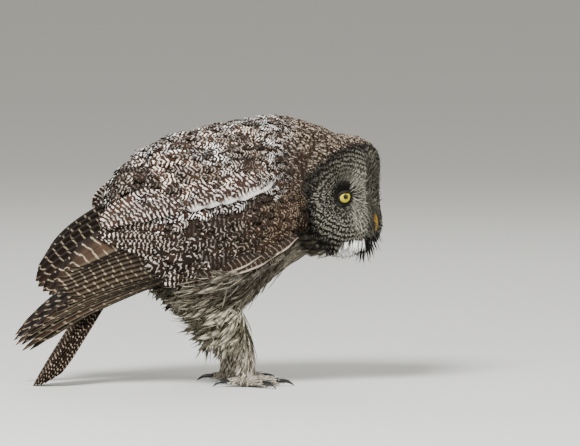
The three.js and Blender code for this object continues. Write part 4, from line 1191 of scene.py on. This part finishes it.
# Claws: smooth black hooks of horn on the solids' lines, one growing from the end of each toe and curving
# down to just above the floor.
CLAW_ALONG, CLAW_DROP = [0, 6, 13, 19, 22.5], [0, -0.4, 0.6, 3.8, 7.0]
CLAW_RADII = [3.4, 3.1, 2.3, 1.3, 0.25]
claw_material = plain_material("claw_horn", (0.012, 0.011, 0.011, 1), 0.3, 0.3)
finer = partial(np.interp, np.linspace(0, 1, 14), np.linspace(0, 1, 5))
away, drop, radii = finer(CLAW_ALONG), finer(CLAW_DROP), finer(CLAW_RADII)
away[0] -= 4  # the root starts inside the toe
for leg in LEGS:
    for toe, heading, length in TOES:
        path = [toe_point(leg, heading, length + 0.3 + a, 7.6 - d) for a, d in zip(away, drop)]
        piece = f"{toe}_{leg['name']}"
        claw = make_object("claw_horn_" + piece, *closed_grid(ring_path(path, radii, 16)))
        dress(claw, claw_material, ["claw_" + piece])

# Floor, light and camera: a plain pale floor without an edge, a soft key light on the camera's side with a
# fill and a back light, and a long lens a little round the bird's front.
FLOOR_WIDE = 60
LIGHTS = (  # name, place, size, power
    ("key", (-1.2, -2.2, 3.0), 1.2, 385),
    ("fill", (2.4, -2.0, 1.2), 2.0, 55),
    ("back", (0.4, 2.4, 2.6), 2.0, 50),
)
LIT_AT = Vector((0, 0, 0.2))
CAMERA = dict(lens=399, azimuth=-6, elevation=4, away=9.0, aim=[70, 0, 225.4])


def link_at(name, data, place, look):
    made = bpy.data.objects.new(name, data)
    made.location = place
    made.rotation_euler = look.to_track_quat("-Z", "Y").to_euler()
    bpy.context.scene.collection.objects.link(made)
    return made


bpy.ops.mesh.primitive_plane_add(size=FLOOR_WIDE, location=(0, 0, 0))
floor = bpy.context.object
floor.name = "floor"
floor.data.materials.append(plain_material("floor", (0.48, 0.48, 0.46, 1), 0.9))
world = bpy.data.worlds.new("world")
bpy.context.scene.world = world
world.use_nodes = True
sky = world.node_tree.nodes["Background"]
sky.inputs["Color"].default_value = (0.94, 0.92, 0.86, 1)
sky.inputs["Strength"].default_value = 0.8
for name, place, size, power in LIGHTS:
    light = bpy.data.lights.new(name, "AREA")
    light.size, light.energy = size, power
    link_at(name, light, place, LIT_AT - Vector(place))
camera = bpy.data.cameras.new("camera")
camera.lens, camera.sensor_width = CAMERA["lens"], 36
azimuth, elevation = math.radians(CAMERA["azimuth"]), math.radians(CAMERA["elevation"])
level = math.cos(elevation)
back = Vector((math.sin(azimuth) * level, -math.cos(azimuth) * level, math.sin(elevation)))
aim = Vector(to_frame(CAMERA["aim"])[0])
bpy.context.scene.camera = link_at("camera", camera, aim + back * CAMERA["away"], -back)
